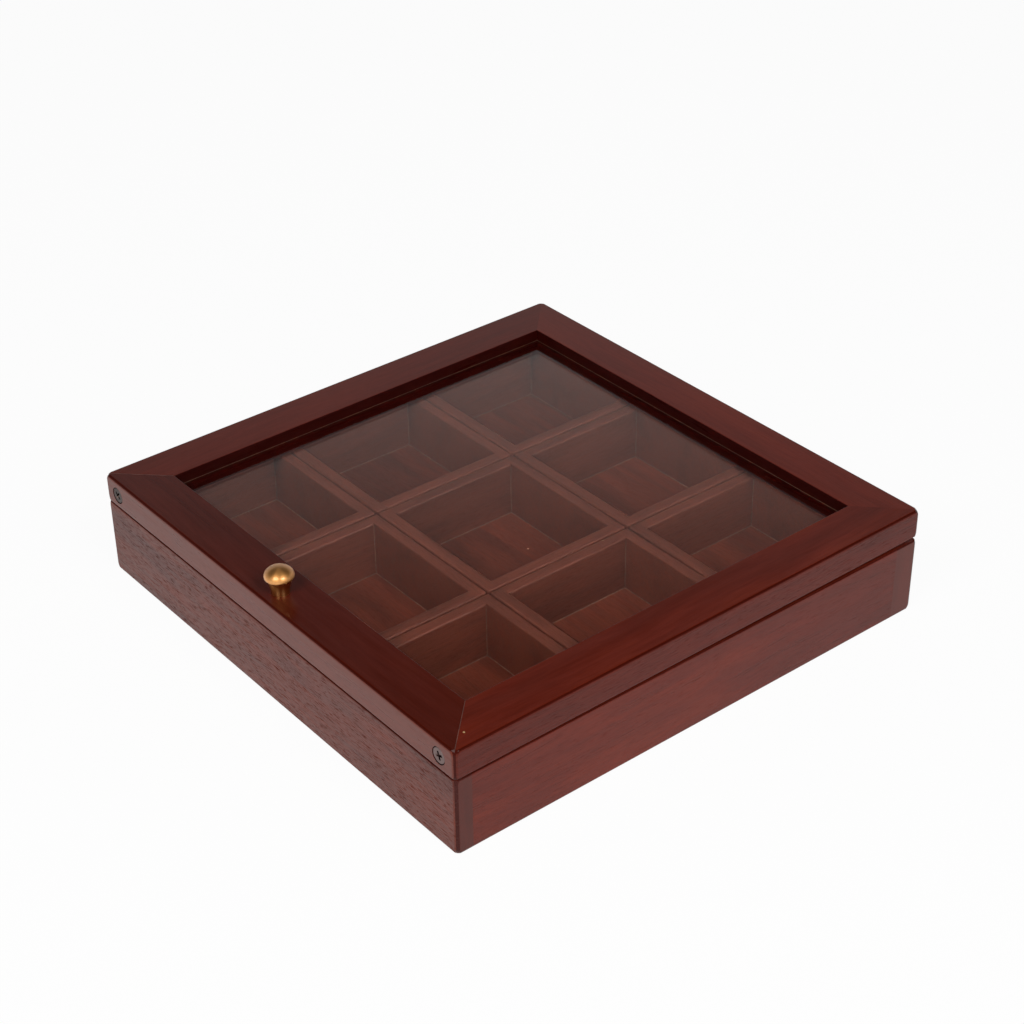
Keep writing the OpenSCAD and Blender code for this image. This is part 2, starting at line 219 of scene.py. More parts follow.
class TeaBoxSizes(bpy.types.PropertyGroup):
    """Edge and detail sizes of the finished pieces; their outer sizes come from the construction model."""

    corner_radius: length("Corner radius", "Radius of the upright corners of the base and the lid", 1.8 * MM)
    foot_radius: length("Foot radius", "Radius along the lower edges of the base", 1.0 * MM)
    rim_radius: length("Rim radius", "Radius along the rims where base and lid meet", 0.6 * MM)
    lid_radius: length("Lid radius", "Radius along the upper outer edges of the rails", 1.2 * MM)
    sanded_top: length("Sanded lid corners", "Upright corner radius at the very top of the lid", 5.2 * MM)
    sanded_rim: length("Sanded rim corners", "Upright corner radius where the lid meets the base", 2.8 * MM)
    sanded_foot: length("Sanded foot corners", "Upright corner radius at the very foot of the base", 3.8 * MM)
    sanded_reach: length("Sanded reach", "How far from its ends an upright corner is sanded", 2.4 * MM)
    opening_radius: length("Opening radius", "Radius along the rails' upper edges round the glass", 0.4 * MM)
    panel_fit: length("Panel fit", "Space between the bottom board and its rebate", 0.05 * MM)
    under_edge: length("Bottom board edge", "Easing of the bottom board's edges", 0.3 * MM)
    board_seam: length("Board seam", "Easing of the edges of the cups' boards", 0.06 * MM)
    glue_line: length("Glue line", "Width of the glue between the rails at the front corners", 0.28 * MM)
    glue_depth: length("Glue depth", "Depth of that glue in the wood", 0.15 * MM)
    drop_inset: length("Drop inset", "Distance of the glue drop from the right side of the lid", 6.9 * MM)
    drop_along: length("Drop along", "Distance of the glue drop from the front of the lid", 9.8 * MM)
    drop_length: length("Drop length", "Length of the glue drop", 0.8 * MM)
    drop_width: length("Drop width", "Width of the glue drop", 0.7 * MM)
    drop_height: length("Drop height", "How far the glue drop stands over the wood", 0.3 * MM)
    drop_depth: length("Drop depth", "How far the glue drop reaches into the wood", 0.05 * MM)
    drop_edge: length("Drop edge", "Rounding of the glue drop", 0.2 * MM)
    groove_fit: length("Groove fit", "Space above and below the glass in its groove", 0.1 * MM)
    groove_depth: length("Groove depth", "How far the groove is cut past the edge of the glass", 0.5 * MM)
    glass_edge: length("Glass edge", "Easing of the ground edges of the glass", 0.25 * MM)
    cup_corner: length("Cup corner", "Radius of the upright outer corners of a cup", 1.2 * MM)
    cup_rim: length("Cup rim", "Radius along the upper outer edges of a cup", 0.9 * MM)
    cup_lip: length("Cup lip", "Radius along the upper inner edges of a cup", 0.9 * MM)
    cup_bead: length("Cup bead", "Radius of the lacquer that has run into a cup's inner corners", 0.28 * MM)
    bead_drop: length("Bead drop", "How far that lacquer ends below the cup's rounded rim", 0.2 * MM)
    pane_bead: length("Pane bead", "Radius of the lacquer between the rails and the glass", 0.2 * MM)
    hole_fit: length("Hole fit", "Space round the heads of the corner screws", 0.35 * MM)
    leaf_fit: length("Leaf fit", "Space round the hinge pins and the heads of the small screws", 0.15 * MM)
    head_drop: length("Head drop", "How far the corner screws' heads lie below the wood", 0.15 * MM)
    head_edge: length("Head edge", "Width of the chamfer round a screw head", 0.12 * MM)
    knob_stem: length("Knob stem", "Diameter of the knob at its foot", 7.6 * MM)
    knob_neck: length("Knob neck", "Diameter of the flare just below the knob's head", 10.6 * MM)
    knob_foot: length("Knob foot", "Height of the straight foot of the knob", 0.8 * MM)
    knob_dome: length("Knob dome", "Height of the dome above the widest part of the knob's head", 3.8 * MM)
    knob_lip: length("Knob lip", "Radius under the edge of the knob's head", 0.8 * MM)
    leaf_thickness: length("Leaf thickness", "Thickness of a hinge leaf", 0.8 * MM)
    knuckle_gap: length("Knuckle gap", "Space between neighbouring knuckles", 0.2 * MM)
    pin_diameter: length("Pin diameter", "Diameter of the hinge pins", 1.6 * MM)
    corner_shank: length("Corner screw shank", "Shank diameter of the lid's corner screws", 3.5 * MM)
    knob_shank: length("Knob screw shank", "Shank diameter of the knob's screw", 3.0 * MM)
    hinge_shank: length("Hinge screw shank", "Shank diameter of the hinge screws", 2.2 * MM)
    pin_edge: length("Pin edge", "Easing of the ends of the hinge pins", 0.25 * MM)
    arc_steps: IntProperty(
        name="Arc steps", description="Faces round a rounded edge", default=6, min=2, max=12
    )
    small_steps: IntProperty(
        name="Small arc steps", description="Faces round a small rounded edge", default=4, min=2, max=12
    )
    turn_steps: IntProperty(
        name="Turning steps", description="Faces round a turned piece", default=64, min=16
    )


class TeaBoxFinishes(bpy.types.PropertyGroup):
    """Colours and gloss of the finishes."""

    wood: colour("Wood", "Stained wood between its streaks", (0.128, 0.0138, 0.0056))
    wood_dark: colour("Dark streaks", "Stained wood in its dark streaks", (0.075, 0.0095, 0.0042))
    wood_red: colour("Red streaks", "Stained wood in its warm streaks", (0.165, 0.0185, 0.0062))
    end_wood: colour("End grain", "Stained wood across the grain", (0.086, 0.0125, 0.0062))
    wood_brown: colour("Brown wood", "Stained wood of the browner front", (0.128, 0.0185, 0.0062))
    # Edge colour: partly stain gathered on the rounded edges, partly painted shade. It darkens the base's rim
    # for the lid's shadow, and the lid's edges as a painted dark reflection of the studio above.
    edge_stain_and_shade: colour("Edge stain", "Stain that has gathered along the rounded edges", (0.05, 0.005, 0.0022))
    # Painted shade: the walls round the glass get a near-black colour for the little light that reaches them.
    inner_painted_shade: colour("Inner stain", "Thick stain on the walls round the glass", (0.022, 0.0014, 0.0008))
    cup_wood: colour("Cup wood", "Stained wood of the cups", (0.108, 0.0235, 0.0122))
    cup_floor_wood: colour("Cup floor wood", "Stained wood of the cups' floors", (0.108, 0.0205, 0.01))
    bare_wood: colour("Bare wood", "Wood where the lacquer has missed or worn", (0.58, 0.32, 0.2))
    glue: colour("Glue", "Stained glue in the front mitres", (0.165, 0.058, 0.042))
    glue_drop: colour("Glue drop", "Clear golden drop of glue beside the near mitre", (0.75, 0.45, 0.2))
    # The beads' pale colour is partly the lacquer's own, partly a painted highlight for the glints along the
    # cups' inner corners.
    bead: colour("Lacquer beads", "Lacquer that has run into the cups' corners", (0.18, 0.092, 0.067))
    pane_run: colour("Lacquer run", "Lacquer between the rails and the glass", (0.1, 0.042, 0.02))
    lacquer: share("Lacquer roughness", "Roughness of the satin lacquer", 0.3)
    top_lacquer: share("Top roughness", "Roughness of the rubbed-down lacquer on top of the lid", 0.2)
    thin_lacquer: share("Inner roughness", "Roughness of the thinner finish on the cups", 0.5)
    brass: colour("Brass", "Satin brass of the knob", (0.82, 0.39, 0.12))
    brass_gloss: share("Brass roughness", "Roughness of the turned brass", 0.47)
    stem_brass: colour("Stem brass", "Polished brass of the knob's stem", (0.62, 0.27, 0.07))
    stem_gloss: share("Stem roughness", "Roughness of the knob's stem", 0.3)
    hinge_brass: colour("Hinge brass", "Duller brass of the hinges", (0.6, 0.42, 0.17))
    steel: colour("Steel", "Steel of the screws", (0.165, 0.108, 0.1))
    stained_steel: colour("Stained steel", "Screw heads with stain on them", (0.06, 0.042, 0.036))
    glass: colour("Glass", "Tint of the clear pane", (0.95, 0.96, 0.94))


class TeaBoxStudio(bpy.types.PropertyGroup):
    """Camera, lamps and floor."""

    azimuth: angle("Azimuth", "Turn of the camera about the upright axis, from the front", 51.33)
    elevation: angle("Elevation", "Height of the camera above level", 32.908)
    roll: angle("Roll", "Turn of the camera about its line of sight", -0.691)
    distance: length("Distance", "Distance of the camera from the point it looks at", 946.5 * MM)
    target: FloatVectorProperty(
        name="Target",
        description="Point the camera looks at",
        default=(-43.71 * MM, 38.48 * MM, 0.0),
        unit="LENGTH",
        subtype="XYZ",
    )
    lens: FloatProperty(
        name="Lens", description="Focal length on a 36 mm sensor, in mm", default=74.23, min=1
    )
    floor_size: length("Floor size", "Side of the square floor", 12.0)
    floor_glow: share("Floor glow", "Share of the floor's white that is its own, to camera and gloss", 0.95)
    floor_colour: colour("Floor colour", "Colour of the floor", (0.86, 0.86, 0.86))
    backdrop: share("Backdrop", "Brightness of the sky as the camera sees it", 0.97)
    sky_low: share("Low light", "Brightness of the studio near the horizon", 0.5)
    sky_edge: angle("Light edge", "Height at which the bright lower part of the studio ends", 24.0)
    sky_fade: angle("Light fade", "Height at which it has faded out", 39.0)
    key: FloatProperty(
        name="Key lamps", description="Power of each of the two soft lamps, in watts", default=6.0, min=0
    )
    left_lamp: angle("Left lamp", "Turn of the left lamp about the upright axis, from the front", 20.0)
    right_lamp: angle("Right lamp", "Turn of the right lamp about the upright axis, from the front", 85.0)
    lamp_height: angle("Lamp height", "Height of both lamps above level", 45.0)
    lamp_distance: length("Lamp distance", "Distance of the lamps from the middle of the box", 1.2)
    lamp_size: length("Lamp size", "Side of each square lamp", 0.45)


# ---------- shaping ----------


def only(piece):
    """Selects one object alone and makes it the active one."""
    bpy.ops.object.select_all(action="DESELECT")
    piece.select_set(True)
    bpy.context.view_layer.objects.active = piece


def settle_place(piece):
    """Moves an object's place, turn and size into its mesh."""
    only(piece)
    bpy.ops.object.transform_apply(location=True, rotation=True, scale=True)


def block(name, low, high):
    """A block between two corners."""
    bpy.ops.object.select_all(action="DESELECT")
    bpy.ops.mesh.primitive_cube_add(size=1, location=(low + high) / 2, scale=high - low)
    piece = bpy.context.active_object
    piece.name = name
    settle_place(piece)
    return piece


def copy_of(piece, name, shift=(0, 0, 0)):
    """A copy of an object with its own mesh, moved by shift."""
    only(piece)
    bpy.ops.object.duplicate()
    twin = bpy.context.active_object
    twin.name = name
    twin.location = shift
    settle_place(twin)
    return twin


def remove(*pieces):
    """Deletes helper objects."""
    for piece in pieces:
        bpy.data.objects.remove(piece)


def edit(piece, kind="EDGE"):
    """Opens an object's mesh for editing with nothing selected, and returns its elements."""
    only(piece)
    bpy.ops.object.mode_set(mode="EDIT")
    bpy.ops.mesh.select_mode(type=kind)
    bpy.ops.mesh.select_all(action="DESELECT")
    return bmesh.from_edit_mesh(piece.data)


def done():
    """Leaves edit mode."""
    bpy.ops.object.mode_set(mode="OBJECT")


def pick(mesh, elements, test):
    """Selects the elements all of whose corners pass the test."""
    for element in elements:
        element.select_set(all(test(v.co) for v in element.verts))
    mesh.select_flush_mode()


def clean(piece):
    """Merges corners that fell together and drops edges that divide one flat face."""
    edit(piece)
    bpy.ops.mesh.select_all(action="SELECT")
    bpy.ops.mesh.remove_doubles(threshold=SAME_SPOT)
    bpy.ops.mesh.dissolve_limited(angle_limit=SAME_WAY)
    done()


def round_edges(piece, test, radius, steps):
    """Rounds the edges both of whose ends pass the test."""
    mesh = edit(piece)
    pick(mesh, mesh.edges, test)
    bpy.ops.mesh.bevel(offset=radius, segments=steps, affect="EDGES", clamp_overlap=True)
    done()


def combine(piece, tool, operation):
    """Cuts, joins or intersects a piece with a tool, which is used up."""
    only(piece)
    change = piece.modifiers.new("combine", "BOOLEAN")
    change.operation = operation
    change.solver = "EXACT"
    change.object = tool
    bpy.ops.object.modifier_apply(modifier=change.name)
    remove(tool)
    clean(piece)


def cut(piece, tool):
    """Takes a tool's shape out of a piece."""
    combine(piece, tool, "DIFFERENCE")


def cut_off(piece, point, away):
    """Cuts a piece by a plane, closes the cut and drops the side that away points to."""
    edit(piece, "FACE")
    bpy.ops.mesh.select_all(action="SELECT")
    bpy.ops.mesh.bisect(
        plane_co=point, plane_no=away, use_fill=True, clear_outer=True, threshold=SAME_SPOT / 2
    )
    done()
    clean(piece)


def cut_to(piece, low, high):
    """Cuts off all that lies outside a box."""
    inside = 2 * IN_PLANE
    box = [Vector(corner) for corner in piece.bound_box]
    for axis in (X, Y, Z):
        away = Vector((0, 0, 0))
        away[axis] = 1
        if max(corner[axis] for corner in box) > high[axis] + inside:
            cut_off(piece, high, away)
        if min(corner[axis] for corner in box) < low[axis] - inside:
            cut_off(piece, low, -away)


def rounded_block(name, low, high, upright, top, bottom, steps, sanded=None, reach=0.0):
    """A block with rounded edges, whose upright corners may be sanded to larger radii at foot and top."""
    piece = block(name, low, high)
    if bottom:
        round_edges(piece, lambda p: abs(p.z - low.z) < IN_PLANE, bottom, steps)
    round_edges(piece, lambda p: abs(p.z - high.z) < IN_PLANE, top, steps)
    combine(piece, corner_post(low, high, upright, steps, sanded, reach), "INTERSECT")
    return piece


def corner_post(low, high, upright, steps, sanded, reach):
    """An upright post with rounded corners; sanded gives their larger radii at the very foot and top."""
    post = block("post", low, high)
    edit(post)
    foot_radius, top_radius = sanded or (upright, upright)
    levels = {}
    for band in SANDED_BANDS if sanded else (0.0,):
        for height, widened in ((low.z + band * reach, foot_radius), (high.z - band * reach, top_radius)):
            levels[height] = upright + (widened - upright) * (1 - band) ** 2
            if band:
                bpy.ops.mesh.select_all(action="SELECT")
                bpy.ops.mesh.bisect(plane_co=(0, 0, height), plane_no=(0, 0, 1))
    mesh = bmesh.from_edit_mesh(post.data)
    for edge in mesh.edges:
        edge.select_set(abs(edge.verts[0].co.z - edge.verts[1].co.z) > IN_PLANE)
    widest = max(levels.values())
    bpy.ops.mesh.bevel(offset=widest, segments=steps, affect="EDGES")
    bpy.ops.mesh.select_mode(type="VERT")
    for height, radius in levels.items():
        for x in (low.x, high.x):
            for y in (low.y, high.y):
                mesh = bmesh.from_edit_mesh(post.data)
                for vert in mesh.verts:
                    away = max(abs(vert.co.x - x), abs(vert.co.y - y))
                    vert.select_set(away < widest + IN_PLANE and abs(vert.co.z - height) < IN_PLANE)
                mesh.select_flush_mode()
                size = radius / widest
                bpy.ops.transform.resize(value=(size, size, 1), center_override=(x, y, height))
    done()
    return post


def on_rim(low, high, height):
    """A test for corners at a height, in or on the outline of a box seen from above."""

    def test(p):
        across = low.x - IN_PLANE < p.x < high.x + IN_PLANE
        along = low.y - IN_PLANE < p.y < high.y + IN_PLANE
        return across and along and abs(p.z - height) < IN_PLANE

    return test


def bead(name, low, high, radius, steps=3):
    """Lacquer that has run into a box's inner corners: hollow fillets up its corners and round its floor."""
    piece = block(name, low, high)
    skin = Vector((SKIN, SKIN, SKIN))
    air = block("air", low - skin, high + skin)
    mesh = edit(air)
    for edge in mesh.edges:
        edge.select_set(min(v.co.z for v in edge.verts) < low.z)
    bpy.ops.mesh.bevel(offset=radius, segments=steps, affect="EDGES")
    done()
    cut(piece, air)
    return piece


def ease(piece, width, steps=2, least=math.radians(40)):
    """Takes the sharpness off every edge that is still sharp."""
    only(piece)
    change = piece.modifiers.new("ease", "BEVEL")
    change.limit_method = "ANGLE"
    change.angle_limit = least
    change.width = width
    change.segments = steps
    bpy.ops.object.modifier_apply(modifier=change.name)


def turned(name, profile, steps):
    """A solid of revolution about the upright axis, from a profile of (radius, height) points."""
    bpy.ops.object.select_all(action="DESELECT")
    bpy.ops.mesh.primitive_plane_add(size=MM)
    piece = bpy.context.active_object
    piece.name = name
    mesh = edit(piece, "VERT")
    bpy.ops.mesh.select_all(action="SELECT")
    bpy.ops.mesh.merge(type="CENTER")
    mesh = bmesh.from_edit_mesh(piece.data)
    mesh.verts.ensure_lookup_table()
    mesh.verts[0].co = (profile[0][0], 0, profile[0][1])
    mesh.verts[0].select_set(True)
    bmesh.update_edit_mesh(piece.data)
    for start, end in zip(profile, profile[1:]):
        step = (end[0] - start[0], 0, end[1] - start[1])
        bpy.ops.mesh.extrude_region_move(TRANSFORM_OT_translate={"value": step})
    bpy.ops.mesh.select_all(action="SELECT")
    bpy.ops.mesh.spin(steps=steps, angle=2 * math.pi, center=(0, 0, 0), axis=(0, 0, 1))
    bpy.ops.mesh.select_all(action="SELECT")
    bpy.ops.mesh.remove_doubles(threshold=SAME_SPOT)
    bpy.ops.mesh.normals_make_consistent(inside=False)
    done()
    return piece


def place(piece, where, turn=None):
    """Turns an object about the origin, sets it down at a point, and keeps that in its mesh."""
    piece.matrix_world = Matrix.Translation(where) @ (turn or Matrix.Identity(4))
    settle_place(piece)


def joined(name, pieces):
    """Several solids as one piece."""
    bpy.ops.object.select_all(action="DESELECT")
    for piece in pieces:
        piece.select_set(True)
    bpy.context.view_layer.objects.active = pieces[0]
    if len(pieces) > 1:
        bpy.ops.object.join()
    whole = bpy.context.active_object
    whole.name = name
    return whole


def lean(piece):
    """Leans a level lid piece forward about the hinge line."""
    place(piece, (0, 0, 0), LEANING)


def smooth(piece, most=math.radians(35)):
    """Smooths rounded edges and keeps flat faces flat."""
    only(piece)
    bpy.ops.object.shade_smooth_by_angle(angle=most)
    change = piece.modifiers.new("flat", "WEIGHTED_NORMAL")
    change.keep_sharp = True
    bpy.ops.object.modifier_apply(modifier=change.name)


def finish_piece(piece, body, slot, nodes, *materials):
    """Smooths a piece, gives it its materials and has it stand for its nodes."""
    smooth(piece)
    for material in materials:
        piece.data.materials.append(material)
    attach(piece, body)
    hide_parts(*nodes)


def mark(piece, index, test):
    """Gives the faces that pass the test the material with that index."""
    mesh = edit(piece, "FACE")
    for face in mesh.faces:
        face.select_set(test(face))
    piece.active_material_index = index
    bpy.ops.object.material_slot_assign()
    done()


def gets_edge_stain_and_shade(face, out):
    """Whether a face is part of a rounded edge, so that it looks along no axis, but not on the outer side.
    Such faces take the darker edge colour: partly stain, partly painted shade.
    """
    return max(abs(part) for part in face.normal) < FLAT and face.normal.dot(out) < OUTER


# ---------- materials ----------


class Nodes:
    """Adds and links the nodes of one material or world."""

    def __init__(self, owner):
        owner.use_nodes = True
        self.tree = owner.node_tree
        self.tree.nodes.clear()

    def add(self, kind, inputs=None, **settings):
        """Adds a node; inputs are values or other nodes' outputs, by socket name or number."""
        node = self.tree.nodes.new(kind)
        for key, value in settings.items():
            setattr(node, key, value)
        for key, value in (inputs or {}).items():
            if isinstance(value, bpy.types.NodeSocket):
                self.tree.links.new(value, node.inputs[key])
            else:
                node.inputs[key].default_value = value
        return node

    def math(self, operation, a, b=0.0, limit=False):
        """A sum or other calculation on two values."""
        return self.add("ShaderNodeMath", {0: a, 1: b}, operation=operation, use_clamp=limit).outputs[0]

    def spread(self, value, low, high, to_low=0.0, to_high=1.0):
        """Carries a value from one range to another, without leaving the second."""
        inputs = {0: value, 1: low, 2: high, 3: to_low, 4: to_high}
        return self.add("ShaderNodeMapRange", inputs, interpolation_type="SMOOTHSTEP").outputs[0]

    def blend(self, amount, a, b, mode="MIX"):
        """A mix of two colours."""
        node = self.add("ShaderNodeMix", {0: amount}, data_type="RGBA", blend_type=mode)
        for socket, value in ((node.inputs[6], a), (node.inputs[7], b)):
            if isinstance(value, bpy.types.NodeSocket):
                self.tree.links.new(value, socket)
            else:
                socket.default_value = (*value, 1) if len(value) == 3 else value
        return node.outputs[2]

    def noise(self, where, scale, detail=2.0, roughness=0.5):
        """Soft noise, about 0.5 on average; its scale is one number, or one for each axis."""
        if isinstance(scale, tuple):
            where = self.add("ShaderNodeVectorMath", {0: where, 1: scale}, operation="MULTIPLY").outputs[0]
            scale = 1.0
        inputs = {"Vector": where, "Scale": scale, "Detail": detail, "Roughness": roughness}
        return self.add("ShaderNodeTexNoise", inputs).outputs["Fac"]

    def lit(self, colour_is, light):
        """A colour made lighter or darker by a value."""
        grey = self.add("ShaderNodeCombineColor", {0: light, 1: light, 2: light}).outputs[0]
        return self.blend(1.0, colour_is, grey, "MULTIPLY")

    def mixed(self, amount, first, second):
        """A mix of two shaders."""
        return self.add("ShaderNodeMixShader", {0: amount, 1: first.outputs[0], 2: second.outputs[0]})

    def bump(self, height, strength, distance):
        """A normal disturbed by a height."""
        inputs = {"Height": height, "Strength": strength, "Distance": distance}
        return self.add("ShaderNodeBump", inputs).outputs[0]

    def output(self, shader, kind="ShaderNodeOutputMaterial"):
        """Sends a shader to the output."""
        self.add(kind, {0: shader.outputs[0]})


def new_material(name):
    """An empty material and its nodes."""
    material = bpy.data.materials.new(name)
    return material, Nodes(material)


def toned(colour_is, tone):
    """A colour times a tone."""
    return tuple(part * tone for part in colour_is)


def grain_place(nodes, along, seed):
    """Object coordinates with the grain along their first axis, from a stretch of the board of its own."""
    turn = {X: (0, 0, 0), Y: (0, 0, math.radians(-90)), Z: (0, math.radians(90), 0)}[along]
    shift = tuple(seed * step for step in NEXT_BOARD)
    source = nodes.add("ShaderNodeTexCoord").outputs["Object"]
    inputs = {"Vector": source, "Location": shift, "Rotation": turn}
    return nodes.add("ShaderNodeMapping", inputs, vector_type="POINT").outputs[0]


def wood(
    name,
    along,
    seed,
    finishes,
    colours=None,
    tone=1.0,
    figure=0.5,
    pores=0.5,
    warmth=0.5,
    fine=420,
    roughness=None,
    coat=1.42,
    specks=0.0,
):
    """Stained and lacquered hardwood: broad figure, fine streaks, short dark pores and a satin lacquer."""
    material, nodes = new_material(name)
    plain, dark_streak, red_streak = colours or (finishes.wood, finishes.wood_dark, finishes.wood_red)
    on_board = grain_place(nodes, along, seed)
    waves = nodes.noise(on_board, WAVES)
    offset = nodes.math("MULTIPLY", nodes.math("SUBTRACT", waves, 0.5), BEND)
    drift = nodes.add("ShaderNodeCombineXYZ", {"Y": offset, "Z": offset}).outputs[0]
    board = nodes.add("ShaderNodeVectorMath", {0: on_board, 1: drift}, operation="ADD").outputs[0]

    bands = nodes.noise(board, BANDS, 3.0, 0.55)
    streaks = nodes.noise(board, (STREAKS_ALONG, fine, fine), 4.0, 0.6)
    fibres = nodes.noise(board, FIBRES, 2.0, 0.6)
    pore_noise = nodes.noise(board, PORES, 1.0, 0.4)
    pore_field = nodes.noise(board, PORE_PATCHES, 1.0)
    pore_edge = nodes.math("SUBTRACT", 0.63 - 0.06 * pores, nodes.math("MULTIPLY", pore_field, 0.12))
    pore = nodes.math("MULTIPLY", nodes.math("SUBTRACT", pore_noise, pore_edge), 5.0, limit=True)

    dark = nodes.spread(bands, 0.52, 0.3, 0, figure)
    red = nodes.spread(bands, 0.48, 0.7, 0, warmth)
    colour_now = nodes.blend(dark, toned(plain, tone), toned(dark_streak, tone))
    colour_now = nodes.blend(red, colour_now, toned(red_streak, tone))
    swing = 0.22 * figure
    streak_light = nodes.spread(streaks, 0.3, 0.7, 1 - swing, 1 + swing)
    fibre_light = nodes.spread(fibres, 0.3, 0.7, 0.93, 1.07)
    pore_light = nodes.math("SUBTRACT", 1.0, nodes.math("MULTIPLY", pore, 0.25 * pores))
    light = nodes.math("MULTIPLY", nodes.math("MULTIPLY", streak_light, fibre_light), pore_light)
    colour_now = nodes.lit(colour_now, light)
    if specks:
        cells = nodes.add("ShaderNodeTexVoronoi", {"Vector": on_board, "Scale": 60.0}, feature="F1")
        chance = nodes.add("ShaderNodeSeparateColor", {0: cells.outputs["Color"]}).outputs[0]
        near = nodes.spread(cells.outputs["Distance"], 0.035, 0.018)
        speck = nodes.math("MULTIPLY", near, nodes.spread(chance, 1.0 - specks, 1.001 - specks))
        colour_now = nodes.blend(speck, colour_now, tuple(finishes.bare_wood))

    dullness = finishes.lacquer if roughness is None else roughness
    raised, sunk = nodes.math("MULTIPLY", fibres, 0.25), nodes.math("MULTIPLY", pore, pores)
    height = nodes.math("SUBTRACT", raised, sunk)
    lacquered = nodes.add(
        "ShaderNodeBsdfPrincipled",
        {
            "Base Color": colour_now,
            "Roughness": nodes.spread(streaks, 0.25, 0.75, dullness - 0.04, dullness + 0.06),
            "IOR": coat,
            "Normal": nodes.bump(height, 0.5, 0.1 * MM),
        },
    )
    open_pore = nodes.add("ShaderNodeBsdfDiffuse", {"Color": colour_now})
    bare_fibre = nodes.spread(fibres, 0.5, 0.3, 0, 0.3 * pores)
    bare = nodes.math("ADD", nodes.math("MULTIPLY", pore, 0.6 * pores), bare_fibre)
    nodes.output(nodes.mixed(bare, lacquered, open_pore))
    return material


def end_grain(name, across, seed, finishes, tone=1.0):
    """The same wood cut across: darker, with pores as dots and faint growth rings."""
    material, nodes = new_material(name)
    where = grain_place(nodes, across, seed)
    rings = nodes.noise(where, RINGS, 3.0)
    pore = nodes.spread(nodes.noise(where, CUT_PORES, 1.0), 0.6, 0.72)
    ring_light, pore_light = nodes.spread(rings, 0.3, 0.7, 0.9, 1.1), nodes.spread(pore, 0, 1, 1.0, 0.8)
    light = nodes.math("MULTIPLY", ring_light, pore_light)
    shader = nodes.add(
        "ShaderNodeBsdfPrincipled",
        {
            "Base Color": nodes.lit(toned(finishes.end_wood, tone), light),
            "Roughness": finishes.lacquer + 0.04,
            "IOR": 1.34,
            "Normal": nodes.bump(pore, -0.3, 0.04 * MM),
        },
    )
    nodes.output(shader)
    return material


def thick_lacquer(name, base, roughness):
    """Uneven drops and runs of lacquer or glue: glossy here, dull there."""
    material, nodes = new_material(name)
    lumps = nodes.noise(nodes.add("ShaderNodeTexCoord").outputs["Object"], 260.0, 3.0)
    shader = nodes.add(
        "ShaderNodeBsdfPrincipled",
        {
            "Base Color": nodes.blend(nodes.spread(lumps, 0.4, 0.65), toned(base, 0.45), tuple(base)),
            "Roughness": nodes.spread(lumps, 0.35, 0.65, roughness + 0.25, roughness),
            "IOR": 1.5,
            "Normal": nodes.bump(lumps, 0.4, 0.1 * MM),
        },
    )
    nodes.output(shader)
    return material


def metal(name, colour_is, roughness, centre=(0, 0, 0), turned_rings=False):
    """Brass or steel with fine scratches and a little tarnish; turned rings draw its gloss out along Z."""
    material, nodes = new_material(name)
    source = nodes.add("ShaderNodeTexCoord").outputs["Object"]
    inputs = {"Vector": source, "Location": toned(centre, -1)}
    where = nodes.add("ShaderNodeMapping", inputs, vector_type="POINT").outputs[0]
    tarnish = nodes.noise(where, 300.0)
    marks = nodes.noise(where, (500, 500, 5000))
    tarnished = nodes.spread(tarnish, 0.35, 0.75, 0, 0.4)
    inputs = {
        "Base Color": nodes.blend(tarnished, tuple(colour_is), toned(colour_is, 0.7)),
        "Metallic": 1.0,
        "Roughness": nodes.spread(tarnish, 0.3, 0.7, roughness - 0.03, roughness + 0.05),
        "Normal": nodes.bump(marks, 0.1, 0.01 * MM),
    }
    if turned_rings:
        inputs["Coat Weight"] = 1.0
        inputs["Coat Roughness"] = 0.2
        inputs["Coat IOR"] = 1.42
        inputs["Anisotropic"] = 0.5
        inputs["Anisotropic Rotation"] = 0.25
        inputs["Tangent"] = nodes.add("ShaderNodeTangent", direction_type="RADIAL", axis="Z").outputs[0]
    nodes.output(nodes.add("ShaderNodeBsdfPrincipled", inputs))
    return material


def clear_glass(name, finishes):
    """Clear glass that bends and mirrors, and lets the lamps' light through to what lies below."""
    material, nodes = new_material(name)
    glass = nodes.add(
        "ShaderNodeBsdfPrincipled",
        {
            "Base Color": (*finishes.glass, 1),
            "Roughness": 0.0,
            "IOR": 1.5,
            "Transmission Weight": 1.0,
        },
    )
    open_way = nodes.add("ShaderNodeBsdfTransparent", {"Color": (*finishes.glass, 1)})
    from_lamps = nodes.add("ShaderNodeLightPath").outputs["Is Shadow Ray"]
    nodes.output(nodes.mixed(from_lamps, glass, open_way))
    return material


# ---------- pieces ----------


def settings(context):
    """The scene's sizes and finishes."""
    return context.scene.tea_box_sizes, context.scene.tea_box_finishes


def browner(finishes):
    """The wood's three colours on the browner front."""
    return finishes.wood_brown, finishes.wood_dark, finishes.wood_red


